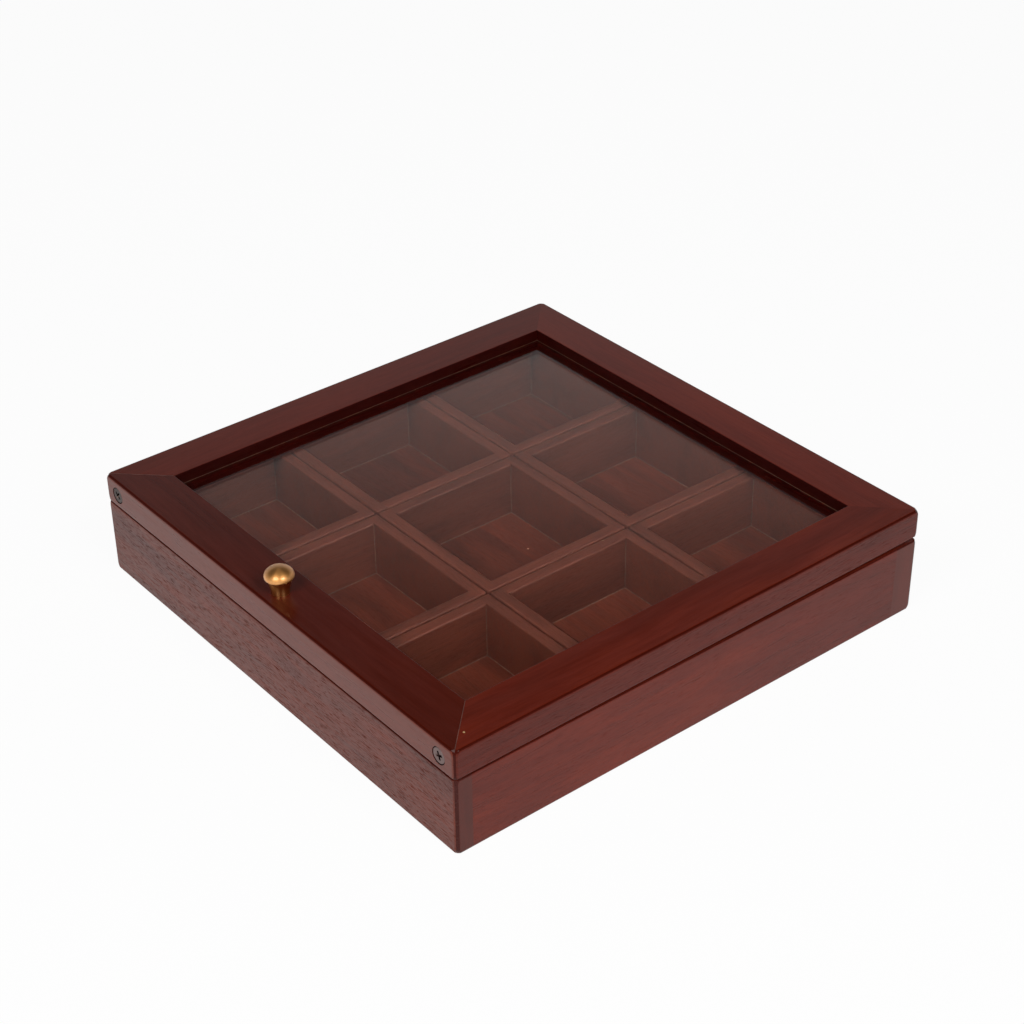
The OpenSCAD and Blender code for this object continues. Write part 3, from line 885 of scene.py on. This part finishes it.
class TEABOX_OT_boards(bpy.types.Operator):
    """Cuts the four walls of the base from one rounded block and lets in the bottom board"""

    bl_idname = "teabox.boards"
    bl_label = "Base boards"

    def execute(self, context):
        sizes, finishes = settings(context)
        whole = rounded_block(
            "base_block",
            BASE_LOW,
            BASE_HIGH,
            sizes.corner_radius,
            sizes.rim_radius,
            sizes.foot_radius,
            sizes.arc_steps,
            (sizes.sanded_foot, sizes.sanded_rim),
            sizes.sanded_reach,
        )
        floor_low, floor_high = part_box("bottom_panel")
        fit = Vector((sizes.panel_fit, sizes.panel_fit, 0))
        # The base's rounded edges are darkened: partly stain, partly painted shade for the lid's shadow on
        # the rim.
        edge_look = dict(colours=[finishes.edge_stain_and_shade] * 3, figure=0.3, pores=0.2, roughness=0.25, coat=1.28)
        looks = {
            "front": dict(
                along=X,
                seed=1.0,
                colours=browner(finishes),
                tone=1.08,
                figure=0.7,
                pores=1.0,
                warmth=0.2,
                roughness=0.34,
                coat=1.385,
            ),
            "rear": dict(along=X, seed=2.0, figure=0.5, pores=0.8, warmth=0.4, coat=1.38),
            "left": dict(along=Y, seed=3.0, figure=0.6, pores=0.5, warmth=0.6, coat=1.38),
            "right": dict(along=Y, seed=4.0, tone=0.98, figure=0.5, pores=0.4, warmth=0.8, coat=1.31),
        }
        end_tones = {"front": 1.0, "rear": 1.25}
        for side, look in looks.items():
            node = f"{side}_panel"
            along, seed, out = look["along"], look["seed"], OUTWARDS[side]
            board = copy_of(whole, f"{side}_board")
            cut_to(board, *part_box(node))
            cut(board, block("rebate", floor_low - fit - BEYOND, floor_high + fit))
            edges = wood(f"{side}_board_edges", along, seed, finishes, **edge_look)
            faces = [wood(f"{side}_board_wood", finishes=finishes, specks=0.02, **look), edges]
            if side in end_tones:
                faces.append(end_grain(f"{side}_board_ends", along, seed, finishes, end_tones[side]))
            finish_piece(board, "base", "panel_wood", [node], *faces)
            if side in end_tones:
                mark(board, 2, lambda face: abs(face.normal.x) > SIDE)
            # Painted shade, with stain: the rounded edges and the rim take the darker edge colour.
            mark(board, 1, lambda face: gets_edge_stain_and_shade(face, out) and face.normal.z > DOWN)
        remove(whole)
        under = block("under_board", floor_low, floor_high)
        ease(under, sizes.under_edge)
        grain = dict(along=X, seed=5.0, pores=0.6, roughness=0.55)
        under_wood = wood("under_board_wood", finishes=finishes, **grain)
        finish_piece(under, "base", "board_wood", ["bottom_panel"], under_wood)
        return {"FINISHED"}


class TEABOX_OT_cups(bpy.types.Operator):
    """Makes one cup from a hollowed block, cuts it into its walls and sets nine of them out"""

    bl_idname = "teabox.cups"
    bl_label = "Cups"

    def execute(self, context):
        sizes, finishes = settings(context)
        first = "cup_front_left"
        low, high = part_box(f"{first}_long_walls")
        inner_low, inner_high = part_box(f"{first}_short_walls")
        floor_low, floor_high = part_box(f"{first}_floor")
        wall = inner_low.y - low.y
        steps = sizes.small_steps
        whole = rounded_block("cup_block", low, high, sizes.cup_corner, sizes.cup_rim, 0, steps)
        hollow_low = Vector((low.x + wall, low.y + wall, low.z))
        hollow_high = Vector((high.x - wall, high.y - wall, high.z))
        cut(whole, block("hollow", hollow_low - BEYOND, hollow_high + BEYOND))
        round_edges(whole, on_rim(hollow_low, hollow_high, high.z), sizes.cup_lip, steps)
        clean(whole)
        long_walls = copy_of(whole, "long_walls")
        middle_low = Vector((low.x, inner_low.y, low.z)) - BEYOND
        middle_high = Vector((high.x, inner_high.y, high.z)) + BEYOND
        cut(long_walls, block("middle", middle_low, middle_high))
        short_walls = copy_of(whole, "short_walls")
        cut_to(short_walls, inner_low, inner_high)
        floor = block("cup_floor", floor_low, floor_high)
        for part in (long_walls, short_walls, floor):
            ease(part, sizes.board_seam)
        run_low = Vector((hollow_low.x, hollow_low.y, floor_high.z))
        run_high = hollow_high - Vector((0, 0, sizes.cup_lip + sizes.bead_drop))
        run = bead("run", run_low, run_high, sizes.cup_bead)
        # The lacquer runs are paler than the cups: partly their own colour, partly a painted highlight along
        # the inner corners.
        run_finish = thick_lacquer("cup_bead_lacquer", finishes.bead, roughness=0.2)
        wall_colours, floor_colours = (
            [toned(colour_is, part) for part in CUP_TONES]
            for colour_is in (finishes.cup_wood, finishes.cup_floor_wood)
        )
        walls_look = dict(colours=wall_colours, figure=0.5, warmth=0.3)
        kinds = {
            "long_walls": (long_walls, X, walls_look),
            "short_walls": (short_walls, Y, walls_look),
            "floor": (floor, X, dict(colours=floor_colours, figure=0.8, warmth=0.6, fine=300)),
        }
        for row, row_name in enumerate(ROWS):
            for column, column_name in enumerate(COLUMNS):
                cup = f"cup_{row_name}_{column_name}"
                for index, (kind, (pattern, along, look)) in enumerate(kinds.items()):
                    node = f"{cup}_{kind}"
                    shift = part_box(node)[0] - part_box(f"{first}_{kind}")[0]
                    piece = copy_of(pattern, f"{cup}_{kind}_wood", shift)
                    seed = CUP_SEED + len(kinds) * (len(COLUMNS) * row + column) + index
                    grain = wood(
                        f"{node}_grain",
                        along,
                        seed,
                        finishes,
                        pores=0.4,
                        roughness=finishes.thin_lacquer,
                        specks=0.1,
                        **look,
                    )
                    finish_piece(piece, cup, "cup_wood", [node], grain)
                lacquer_run = copy_of(run, f"{cup}_bead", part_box(f"{cup}_floor")[0] - floor_low)
                finish_piece(lacquer_run, cup, "cup_wood", [], run_finish)
        remove(run, whole, long_walls, short_walls, floor)
        return {"FINISHED"}


def screw_shape(name, head, shank, long, sizes):
    """A countersunk screw without its cross, head flush with the origin and point down, or a seat for one."""
    sink = (head - shank) / 2
    rim = head / 2 - sizes.head_edge
    cone = [(0, 0), (rim, 0), (head / 2, -sizes.head_edge), (shank / 2, -sink)]
    profile = [*cone, (shank / 2, -long), (0, -long)]
    return turned(name, profile[::-1], sizes.turn_steps // 2)


def screw(name, head, shank, long, sizes, turn=0.0):
    """A countersunk cross-head screw."""
    piece = screw_shape(name, head, shank, long, sizes)
    low = Vector((-BAR_LENGTH * head, -BAR_WIDTH * head, -BAR_DEPTH * (head - shank) / 2))
    high = Vector((BAR_LENGTH, BAR_WIDTH, BAR_ABOVE)) * head
    for quarter in (0, 90):
        bar = block("bar", low, high)
        mesh = edit(bar, "FACE")
        pick(mesh, mesh.faces, lambda p: p.z < 0)
        bpy.ops.transform.resize(value=BAR_FOOT)
        done()
        place(bar, (0, 0, 0), Matrix.Rotation(math.radians(quarter) + turn, 4, "Z"))
        cut(piece, bar)
    return piece


def corner_screw_seats(side):
    """Place, head, length and turn of the two screws through one side's lid corners, with the lid level."""
    low, high = level_box(f"{side}_corner_screws")
    head, long = high.z - low.z, high.y - low.y
    y = low.y if side == "front" else high.y
    places = [Vector((x, y, (low.z + high.z) / 2)) for x in (low.x + head / 2, high.x - head / 2)]
    return [(where, head, long, turn) for where, turn in zip(places, CORNER_TURNS)]


def knob_screw_seat():
    """Place, head and length of the screw up into the knob, with the lid level."""
    low, high = level_box("knob_screw")
    return Vector(((low.x + high.x) / 2, (low.y + high.y) / 2, low.z)), high.x - low.x, high.z - low.z


def leaf_screw_seats(body):
    """Places of the four screws through a body's leaves, their head and their length, with the lid level."""
    node = f"hinge_{body}_screws"
    low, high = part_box(node) if body == "base" else level_box(node)
    head, long = high.y - low.y, high.z - low.z
    leaf_low, leaf_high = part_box("hinge_right_base_leaf")
    outermost = high.x - head / 2
    innermost = leaf_low.x + leaf_high.x - outermost
    y, z = (low.y + high.y) / 2, high.z if body == "base" else low.z
    return [Vector((x, y, z)) for x in (-outermost, -innermost, innermost, outermost)], head, long


def mitres():
    """Outer and inner ends of the lid's mitres from above: front left and right, then rear left and right."""
    return [
        (Vector((outer_x, outer_y, 0)), Vector((inner_x, inner_y, 0)))
        for outer_y, inner_y in ((LID_LOW.y, OPENING_LOW.y), (LID_HIGH.y, OPENING_HIGH.y))
        for outer_x, inner_x in ((LID_LOW.x, OPENING_LOW.x), (LID_HIGH.x, OPENING_HIGH.x))
    ]


class TEABOX_OT_rails(bpy.types.Operator):
    """Cuts the four mitred lid rails from one rounded frame, with the groove for the glass"""

    bl_idname = "teabox.rails"
    bl_label = "Lid rails"

    def execute(self, context):
        sizes, finishes = settings(context)
        whole = rounded_block(
            "lid_block",
            LID_LOW,
            LID_HIGH,
            sizes.corner_radius,
            sizes.lid_radius,
            sizes.rim_radius,
            sizes.arc_steps,
            (sizes.sanded_rim, sizes.sanded_top),
            sizes.sanded_reach,
        )
        cut(whole, block("opening", OPENING_LOW - BEYOND, OPENING_HIGH + BEYOND))
        rim = on_rim(OPENING_LOW, OPENING_HIGH, LID_HIGH.z)
        round_edges(whole, rim, sizes.opening_radius, sizes.small_steps)
        glass_low, glass_high = level_box("glass_pane")
        play = Vector((sizes.groove_depth, sizes.groove_depth, sizes.groove_fit))
        cut(whole, block("groove", glass_low - play, glass_high + play))
        brown = browner(finishes)
        # The rails' rounded edges are darkened: partly stain, partly a painted dark reflection of the studio
        # above.
        edge_look = dict(colours=[finishes.edge_stain_and_shade] * 3, figure=0.3, pores=0.1, roughness=0.16, coat=1.2)
        # The tops' tones are partly each rail's own and partly painted shade: light falls off towards the
        # front of the lid, so the front rail is darkest and the rear lightest.
        top_looks = {
            "front": dict(along=X, seed=51.0, tone=0.55, figure=0.35, pores=0.15, warmth=0.3),
            "rear": dict(along=X, seed=52.0, tone=1.0, figure=0.3, pores=0.15, warmth=0.5),
            "left": dict(along=Y, seed=53.0, tone=0.86, figure=0.3, pores=0.15, warmth=0.3),
            "right": dict(along=Y, seed=54.0, tone=0.87, figure=0.4, pores=0.15, warmth=0.9),
        }
        side_looks = {
            "front": dict(colours=brown, tone=1.1, figure=0.25, pores=0.25, warmth=0.2, coat=1.385),
            "rear": dict(tone=0.98, figure=0.3, pores=0.3, warmth=0.3, coat=1.38),
            "left": dict(tone=0.9, figure=0.4, pores=0.3, warmth=0.3, coat=1.38),
            "right": dict(tone=0.79, figure=0.6, pores=0.6, warmth=0.3, coat=1.28),
        }
        # Painted shade: the rails' inner walls and the groove take a near-black colour, for the light that
        # hardly reaches them.
        inner_shade_look = dict(colours=[finishes.inner_painted_shade] * 3, figure=0.5, pores=0.3, roughness=0.3, coat=1.15)
        strips = [self.glue_strip(*mitre, sizes) for mitre in mitres()[:2]]
        for strip in strips:
            cut(whole, copy_of(strip, "slot"))
        pockets = self.pockets(sizes)
        centre = (LID_LOW + LID_HIGH) / 2
        for side, out in OUTWARDS.items():
            rail = copy_of(whole, f"{side}_rail")
            for outer, inner in mitres():
                if (outer - centre).dot(out) > 0:
                    way = inner - outer
                    away = Vector((way.y, -way.x, 0)).normalized()
                    cut_off(rail, outer, away if away.dot(out) < 0 else -away)
            cut(rail, copy_of(pockets, "pockets_here"))
            lean(rail)
            look = dict(top_looks[side], roughness=finishes.top_lacquer, specks=0.02)
            grain = dict(along=look["along"], seed=look["seed"], finishes=finishes)
            finish_piece(
                rail,
                "lid",
                "rail_wood",
                [f"lid_{side}_rail"],
                wood(f"{side}_rail_top", finishes=finishes, **look),
                wood(f"{side}_rail_side", **grain, **side_looks[side]),
                wood(f"{side}_rail_inside_painted_shade", **grain, **inner_shade_look),
                wood(f"{side}_rail_edges", **grain, **edge_look),
            )
            mark(rail, 1, lambda face: face.normal.dot(out) > SIDE)
            # Painted dark reflection, with stain: the rounded edges take the darker edge colour.
            mark(rail, 3, lambda face: gets_edge_stain_and_shade(face, out))
            # The inner walls and the groove faces take the painted-shade colour.
            mark(rail, 2, lambda face: face.normal.dot(out) < BACK or self.in_groove(face, glass_high.z))
        remove(whole, pockets)
        dry = thick_lacquer("dry_glue", finishes.glue, roughness=0.4)
        golden = thick_lacquer("golden_glue", finishes.glue_drop, roughness=0.2)
        lacquer = thick_lacquer("pane_bead_lacquer", finishes.pane_run, roughness=0.3)
        self.finish_glue("glue_lines", strips, dry)
        self.finish_glue("glue_drop", [self.drop(sizes)], golden)
        run_low = Vector((OPENING_LOW.x, OPENING_LOW.y, glass_high.z + 2 * SKIN))
        run_high = Vector((OPENING_HIGH.x, OPENING_HIGH.y, glass_high.z + 2 * sizes.pane_bead))
        run = bead("pane_bead", run_low, run_high, sizes.pane_bead)
        self.finish_glue("pane_bead", [run], lacquer)
        return {"FINISHED"}

    def pockets(self, sizes):
        """The pockets for the corner screws and the knob's screw, as one piece to cut with."""
        pockets = []
        for side in ("front", "rear"):
            for where, head, long, _ in corner_screw_seats(side):
                head += 2 * sizes.hole_fit
                pocket = screw_shape("pocket", head, sizes.corner_shank, long + MM, sizes)
                place(pocket, where, DRIVEN[side])
                pockets.append(pocket)
        where, head, _ = knob_screw_seat()
        head, long = head + 2 * sizes.leaf_fit, LID_HIGH.z - where.z - MM
        pocket = screw_shape("pocket", head, sizes.knob_shank, long, sizes)
        place(pocket, where, DRIVEN["lid"])
        return joined("pockets", [*pockets, pocket])

    def in_groove(self, face, glass_top):
        """Whether a face looks up out of the groove, below the upper face of the glass."""
        spot = LEANING.inverted() @ face.calc_center_median()
        return face.normal.z > UP and spot.z < glass_top

    def glue_strip(self, outer, inner, sizes):
        """A strip of glue let into the top along a mitre, between the rounded edges at its ends."""
        way = inner - outer
        turn = Matrix.Rotation(math.atan2(way.y, way.x), 4, "Z")
        start = GLUE_CLEAR * sizes.lid_radius
        end = way.length - GLUE_CLEAR * sizes.opening_radius
        half = sizes.glue_line / 2
        strip = block("glue_strip", Vector((start, -half, -sizes.glue_depth)), Vector((end, half, SKIN)))
        place(strip, Vector((outer.x, outer.y, LID_HIGH.z)), turn)
        return strip

    def drop(self, sizes):
        """The drop of glue on the right rail, beside the front mitre."""
        half = Vector((sizes.drop_length / 2, sizes.drop_width / 2, 0))
        depth, height = Vector((0, 0, sizes.drop_depth)), Vector((0, 0, sizes.drop_height))
        drop = block("glue_drop", -half - depth, half + height)
        ease(drop, sizes.drop_edge, steps=3)
        where = Vector((LID_HIGH.x - sizes.drop_inset, LID_LOW.y + sizes.drop_along, LID_HIGH.z))
        place(drop, where, Matrix.Rotation(DROP_TURN, 4, "Z"))
        return drop

    def finish_glue(self, name, pieces, finish):
        """Leans pieces of glue or lacquer with the lid and finishes them as one."""
        glue = joined(name, pieces)
        lean(glue)
        finish_piece(glue, "lid", "rail_wood", [], finish)


class TEABOX_OT_pane(bpy.types.Operator):
    """Makes the glass pane with its ground edges"""

    bl_idname = "teabox.pane"
    bl_label = "Glass pane"

    def execute(self, context):
        sizes, finishes = settings(context)
        pane = block("lid_pane", *level_box("glass_pane"))
        ease(pane, sizes.glass_edge)
        lean(pane)
        finish_piece(pane, "lid", "pane", ["glass_pane"], clear_glass("pane_glass", finishes))
        return {"FINISHED"}


class TEABOX_OT_knob(bpy.types.Operator):
    """Turns the knob: straight foot, flare, rounded lip and domed top"""

    bl_idname = "teabox.knob"
    bl_label = "Knob"

    def execute(self, context):
        sizes, finishes = settings(context)
        low, high = level_box("knob")
        radius, tall = (high.x - low.x) / 2, high.z - low.z
        lip, foot, stem = sizes.knob_lip, sizes.knob_foot, sizes.knob_stem / 2
        widest = tall - sizes.knob_dome
        neck_height = widest - NECK_DROP * lip
        flare = []
        for step in range(KNOB_STEPS + 1):
            part = step / KNOB_STEPS
            wider = (sizes.knob_neck / 2 - stem) * part**FLARE_POWER
            flare.append((stem + wider, foot + (neck_height - foot) * part))
        under = []
        for turn in map(math.radians, LIP_ARC):
            under.append((radius - lip + lip * math.cos(turn), widest + lip * math.sin(turn)))
        dome = []
        for step in range(2 * KNOB_STEPS):
            turn = math.pi / 4 * step / KNOB_STEPS
            out, up = math.cos(turn) ** DOME_POWER, math.sin(turn) ** DOME_POWER
            dome.append((radius * out, widest + sizes.knob_dome * up))
        profile = [(0, 0), (stem, 0), *flare, *under, *dome, (0, tall)]
        knob = turned("turned_knob", profile, sizes.turn_steps)
        centre = Vector(((low.x + high.x) / 2, (low.y + high.y) / 2, low.z))
        place(knob, centre)
        lean(knob)
        brass = metal("knob_satin_brass", finishes.brass, finishes.brass_gloss, centre, True)
        polished = metal("knob_stem_brass", finishes.stem_brass, finishes.stem_gloss, centre, True)
        finish_piece(knob, "lid", "knob_brass", ["knob"], brass, polished)
        mark(knob, 1, lambda face: face.calc_center_median().z < low.z + neck_height)
        return {"FINISHED"}


class TEABOX_OT_screws(bpy.types.Operator):
    """Drives the screws through the lid's corners, into the knob and into the hinge leaves"""

    bl_idname = "teabox.screws"
    bl_label = "Screws"

    def execute(self, context):
        sizes, finishes = settings(context)
        steel = metal("screw_steel_finish", finishes.steel, roughness=0.35)
        stained = metal("stained_screw_finish", finishes.stained_steel, roughness=0.4)
        brass = metal("hinge_screw_brass", finishes.hinge_brass, roughness=0.35)
        for side in ("front", "rear"):
            pair = []
            for where, head, long, turn in corner_screw_seats(side):
                head, long = head - 2 * sizes.head_drop, long - sizes.head_drop
                one = screw("corner_screw", head, sizes.corner_shank, long, sizes, turn)
                place(one, where - OUTWARDS[side] * sizes.head_drop, DRIVEN[side])
                pair.append(one)
            screws = joined(f"{side}_corner_screw_pair", pair)
            lean(screws)
            finish_piece(screws, "lid", "screw_steel", [f"{side}_corner_screws"], steel, stained)
            mark(screws, 1, lambda face: face.calc_center_median().x < 0)
        where, head, long = knob_screw_seat()
        one = screw("knob_fixing_screw", head, sizes.knob_shank, long, sizes)
        place(one, where, DRIVEN["lid"])
        lean(one)
        finish_piece(one, "lid", "screw_steel", ["knob_screw"], steel)
        for body in ("base", "lid"):
            places, head, long = leaf_screw_seats(body)
            set_of_four = []
            for where in places:
                turn = LEAF_TURN + LEAF_TURN_PER_METRE * where.x
                one = screw("hinge_screw", head, sizes.hinge_shank, long, sizes, turn)
                place(one, where, DRIVEN[body])
                set_of_four.append(one)
            screws = joined(f"{body}_leaf_screws", set_of_four)
            if body == "lid":
                lean(screws)
            finish_piece(screws, body, "hinge_brass", [f"hinge_{body}_screws"], brass)
        return {"FINISHED"}


class TEABOX_OT_hinges(bpy.types.Operator):
    """Makes the leaves with their rolled knuckles, and the pins"""

    bl_idname = "teabox.hinges"
    bl_label = "Hinges"

    def execute(self, context):
        sizes, finishes = settings(context)
        brass = metal("leaf_brass", finishes.hinge_brass, roughness=0.33)
        for side in ("left", "right"):
            for body in ("base", "lid"):
                self.leaf(side, body, sizes, brass)
            low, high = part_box(f"hinge_{side}_base_leaf")
            pin = self.rod(f"{side}_hinge_pin", low.x, high.x, sizes.pin_diameter / 2, sizes)
            ease(pin, sizes.pin_edge, steps=3, least=math.radians(60))
            finish_piece(pin, "base", "hinge_brass", [f"hinge_{side}_pin"], brass)
        return {"FINISHED"}

    def leaf(self, side, body, sizes, brass):
        """One leaf: a plate with its knuckles rolled round the pin, and the seats of its screws."""
        node = f"hinge_{side}_{body}_leaf"
        left, right = (corner.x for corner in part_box(f"hinge_{side}_base_leaf"))
        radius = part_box(f"hinge_{side}_base_leaf")[1].y - HINGE.y
        inner_y = (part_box(node) if body == "base" else level_box(node))[0].y
        bottom = BASE_HIGH.z if body == "base" else LID_LOW.z - sizes.leaf_thickness
        top = bottom + sizes.leaf_thickness
        low, high = Vector((left, inner_y, bottom)), Vector((right, HINGE.y, top))
        plate = block(f"{side}_hinge_{body}_leaf", low, high)
        gap = sizes.knuckle_gap
        knuckle = (right - left - (KNUCKLES - 1) * gap) / KNUCKLES
        starts = [left + index * (knuckle + gap) for index in range(KNUCKLES)]
        own, others = (starts[::2], starts[1::2]) if body == "base" else (starts[1::2], starts[::2])
        for start in own:
            combine(plate, self.rod("roll", start, start + knuckle, radius, sizes), "UNION")
        for start in others:
            cut(plate, self.rod("space", start - gap, start + knuckle + gap, radius + gap, sizes))
        bore = sizes.pin_diameter / 2 + sizes.leaf_fit
        cut(plate, self.rod("bore", left - MM, right + MM, bore, sizes))
        places, head, long = leaf_screw_seats(body)
        for where in places:
            if left < where.x < right:
                seat = screw_shape("seat", head + 2 * sizes.leaf_fit, sizes.hinge_shank, long, sizes)
                place(seat, where, DRIVEN[body])
                cut(plate, seat)
        if body == "lid":
            lean(plate)
        finish_piece(plate, body, "hinge_brass", [node], brass)

    def rod(self, name, start, end, radius, sizes):
        """A round rod along the hinge line."""
        bpy.ops.object.select_all(action="DESELECT")
        bpy.ops.mesh.primitive_cylinder_add(
            vertices=sizes.turn_steps // 2,
            radius=radius,
            depth=end - start,
            location=((start + end) / 2, HINGE.y, HINGE.z),
            rotation=(0, math.pi / 2, 0),
        )
        piece = bpy.context.active_object
        piece.name = name
        settle_place(piece)
        return piece


# ---------- studio ----------


def studio_sky(studio):
    """Soft light all round, bright low down and dark overhead."""
    world = bpy.data.worlds.new("studio_sky")
    nodes = Nodes(world)
    direction = nodes.add("ShaderNodeTexCoord").outputs["Generated"]
    height = nodes.add("ShaderNodeSeparateXYZ", {0: direction}).outputs["Z"]
    low, high = math.sin(studio.sky_edge), math.sin(studio.sky_fade)
    strength = nodes.spread(height, low, high, studio.sky_low, 0.0)
    seen = nodes.add("ShaderNodeLightPath").outputs["Is Camera Ray"]
    strength = nodes.math("MAXIMUM", strength, nodes.math("MULTIPLY", seen, studio.backdrop))
    sky = nodes.add("ShaderNodeBackground", {"Color": (1, 1, 1, 1), "Strength": strength})
    nodes.output(sky, "ShaderNodeOutputWorld")
    return world


def floor_finish(studio):
    """Matt white floor. The camera and gloss see it near white; the shadow on it stays."""
    material, nodes = new_material("floor_white")
    matt = nodes.add("ShaderNodeBsdfDiffuse", {"Color": (*studio.floor_colour, 1)})
    dimmed = toned(studio.floor_colour, 1 - studio.floor_glow)
    dim = nodes.add("ShaderNodeBsdfDiffuse", {"Color": (*dimmed, 1)})
    glow = nodes.add("ShaderNodeEmission", {"Color": (1, 1, 1, 1), "Strength": studio.floor_glow})
    white = nodes.add("ShaderNodeAddShader", {0: dim.outputs[0], 1: glow.outputs[0]})
    path = nodes.add("ShaderNodeLightPath")
    seen = nodes.math("MAXIMUM", path.outputs["Is Camera Ray"], path.outputs["Is Glossy Ray"])
    seen = nodes.math("MAXIMUM", seen, path.outputs["Is Transmission Ray"])
    nodes.output(nodes.mixed(seen, matt, white))
    return material


class TEABOX_OT_studio(bpy.types.Operator):
    """Sets up the floor, the lamps, the sky and the camera"""

    bl_idname = "teabox.studio"
    bl_label = "Studio"

    def execute(self, context):
        studio = context.scene.tea_box_studio
        bpy.ops.object.select_all(action="DESELECT")
        bpy.ops.mesh.primitive_plane_add(size=studio.floor_size)
        floor = context.active_object
        floor.name = "studio_floor"
        floor.data.materials.append(floor_finish(studio))
        context.scene.world = studio_sky(studio)
        self.lamp("left_softbox", studio.left_lamp, studio)
        self.lamp("right_softbox", studio.right_lamp, studio)
        self.camera(context.scene, studio)
        context.scene.view_settings.view_transform = "Standard"
        return {"FINISHED"}

    def direction(self, azimuth, elevation):
        """Unit vector towards a place, by its turn from the front and its height above level."""
        level = math.cos(elevation)
        return Vector((math.sin(azimuth) * level, -math.cos(azimuth) * level, math.sin(elevation)))

    def lamp(self, name, azimuth, studio):
        """A square soft lamp that faces the middle of the box."""
        bpy.ops.object.light_add(type="AREA")
        lamp = bpy.context.active_object
        lamp.name = name
        lamp.data.shape = "SQUARE"
        lamp.data.size = studio.lamp_size
        lamp.data.energy = studio.key
        away = self.direction(azimuth, studio.lamp_height)
        lamp.location = away * studio.lamp_distance
        lamp.rotation_euler = away.to_track_quat("Z", "Y").to_euler()

    def camera(self, scene, studio):
        """The camera looks at its target from the given side, height and distance."""
        back = self.direction(studio.azimuth, studio.elevation)
        right = Vector((0, 0, 1)).cross(back).normalized()
        up = back.cross(right)
        cosine, sine = math.cos(studio.roll), math.sin(studio.roll)
        rolled_right = cosine * right + sine * up
        rolled_up = cosine * up - sine * right
        axes = Matrix((rolled_right, rolled_up, back)).transposed().to_4x4()
        bpy.ops.object.camera_add()
        camera = bpy.context.active_object
        camera.name = "studio_camera"
        camera.matrix_world = Matrix.Translation(Vector(studio.target) + back * studio.distance) @ axes
        camera.data.lens = studio.lens
        camera.data.sensor_width = SENSOR_WIDTH
        camera.data.clip_end = FAR_AWAY
        scene.camera = camera


class TEABOX_PT_pieces(bpy.types.Panel):
    """Lists the pieces and their sizes and finishes"""

    bl_idname = "TEABOX_PT_pieces"
    bl_label = "Tea Box"
    bl_space_type = "VIEW_3D"
    bl_region_type = "UI"
    bl_category = "Tea Box"

    def draw(self, context):
        for operator in OPERATORS:
            self.layout.operator(operator.bl_idname)
        for name, kind in GROUPS.items():
            box = self.layout.box()
            for setting in kind.__annotations__:
                box.prop(getattr(context.scene, name), setting)


OPERATORS = (
    TEABOX_OT_studio,
    TEABOX_OT_boards,
    TEABOX_OT_cups,
    TEABOX_OT_rails,
    TEABOX_OT_pane,
    TEABOX_OT_knob,
    TEABOX_OT_screws,
    TEABOX_OT_hinges,
)
GROUPS = {"tea_box_sizes": TeaBoxSizes, "tea_box_finishes": TeaBoxFinishes, "tea_box_studio": TeaBoxStudio}


def register():
    """Makes the property groups, operators and panel known to Blender."""
    for name, group in GROUPS.items():
        bpy.utils.register_class(group)
        setattr(bpy.types.Scene, name, PointerProperty(type=group))
    for item in (*OPERATORS, TEABOX_PT_pieces):
        bpy.utils.register_class(item)


def unregister():
    """Takes them out again."""
    for item in reversed((*OPERATORS, TEABOX_PT_pieces)):
        bpy.utils.unregister_class(item)
    for name, group in GROUPS.items():
        delattr(bpy.types.Scene, name)
        bpy.utils.unregister_class(group)


def main():
    """Builds the studio and every piece."""
    register()
    bpy.ops.teabox.studio()
    bpy.ops.teabox.boards()
    bpy.ops.teabox.cups()
    bpy.ops.teabox.rails()
    bpy.ops.teabox.pane()
    bpy.ops.teabox.knob()
    bpy.ops.teabox.screws()
    bpy.ops.teabox.hinges()


if __name__ == "__main__":
    main()
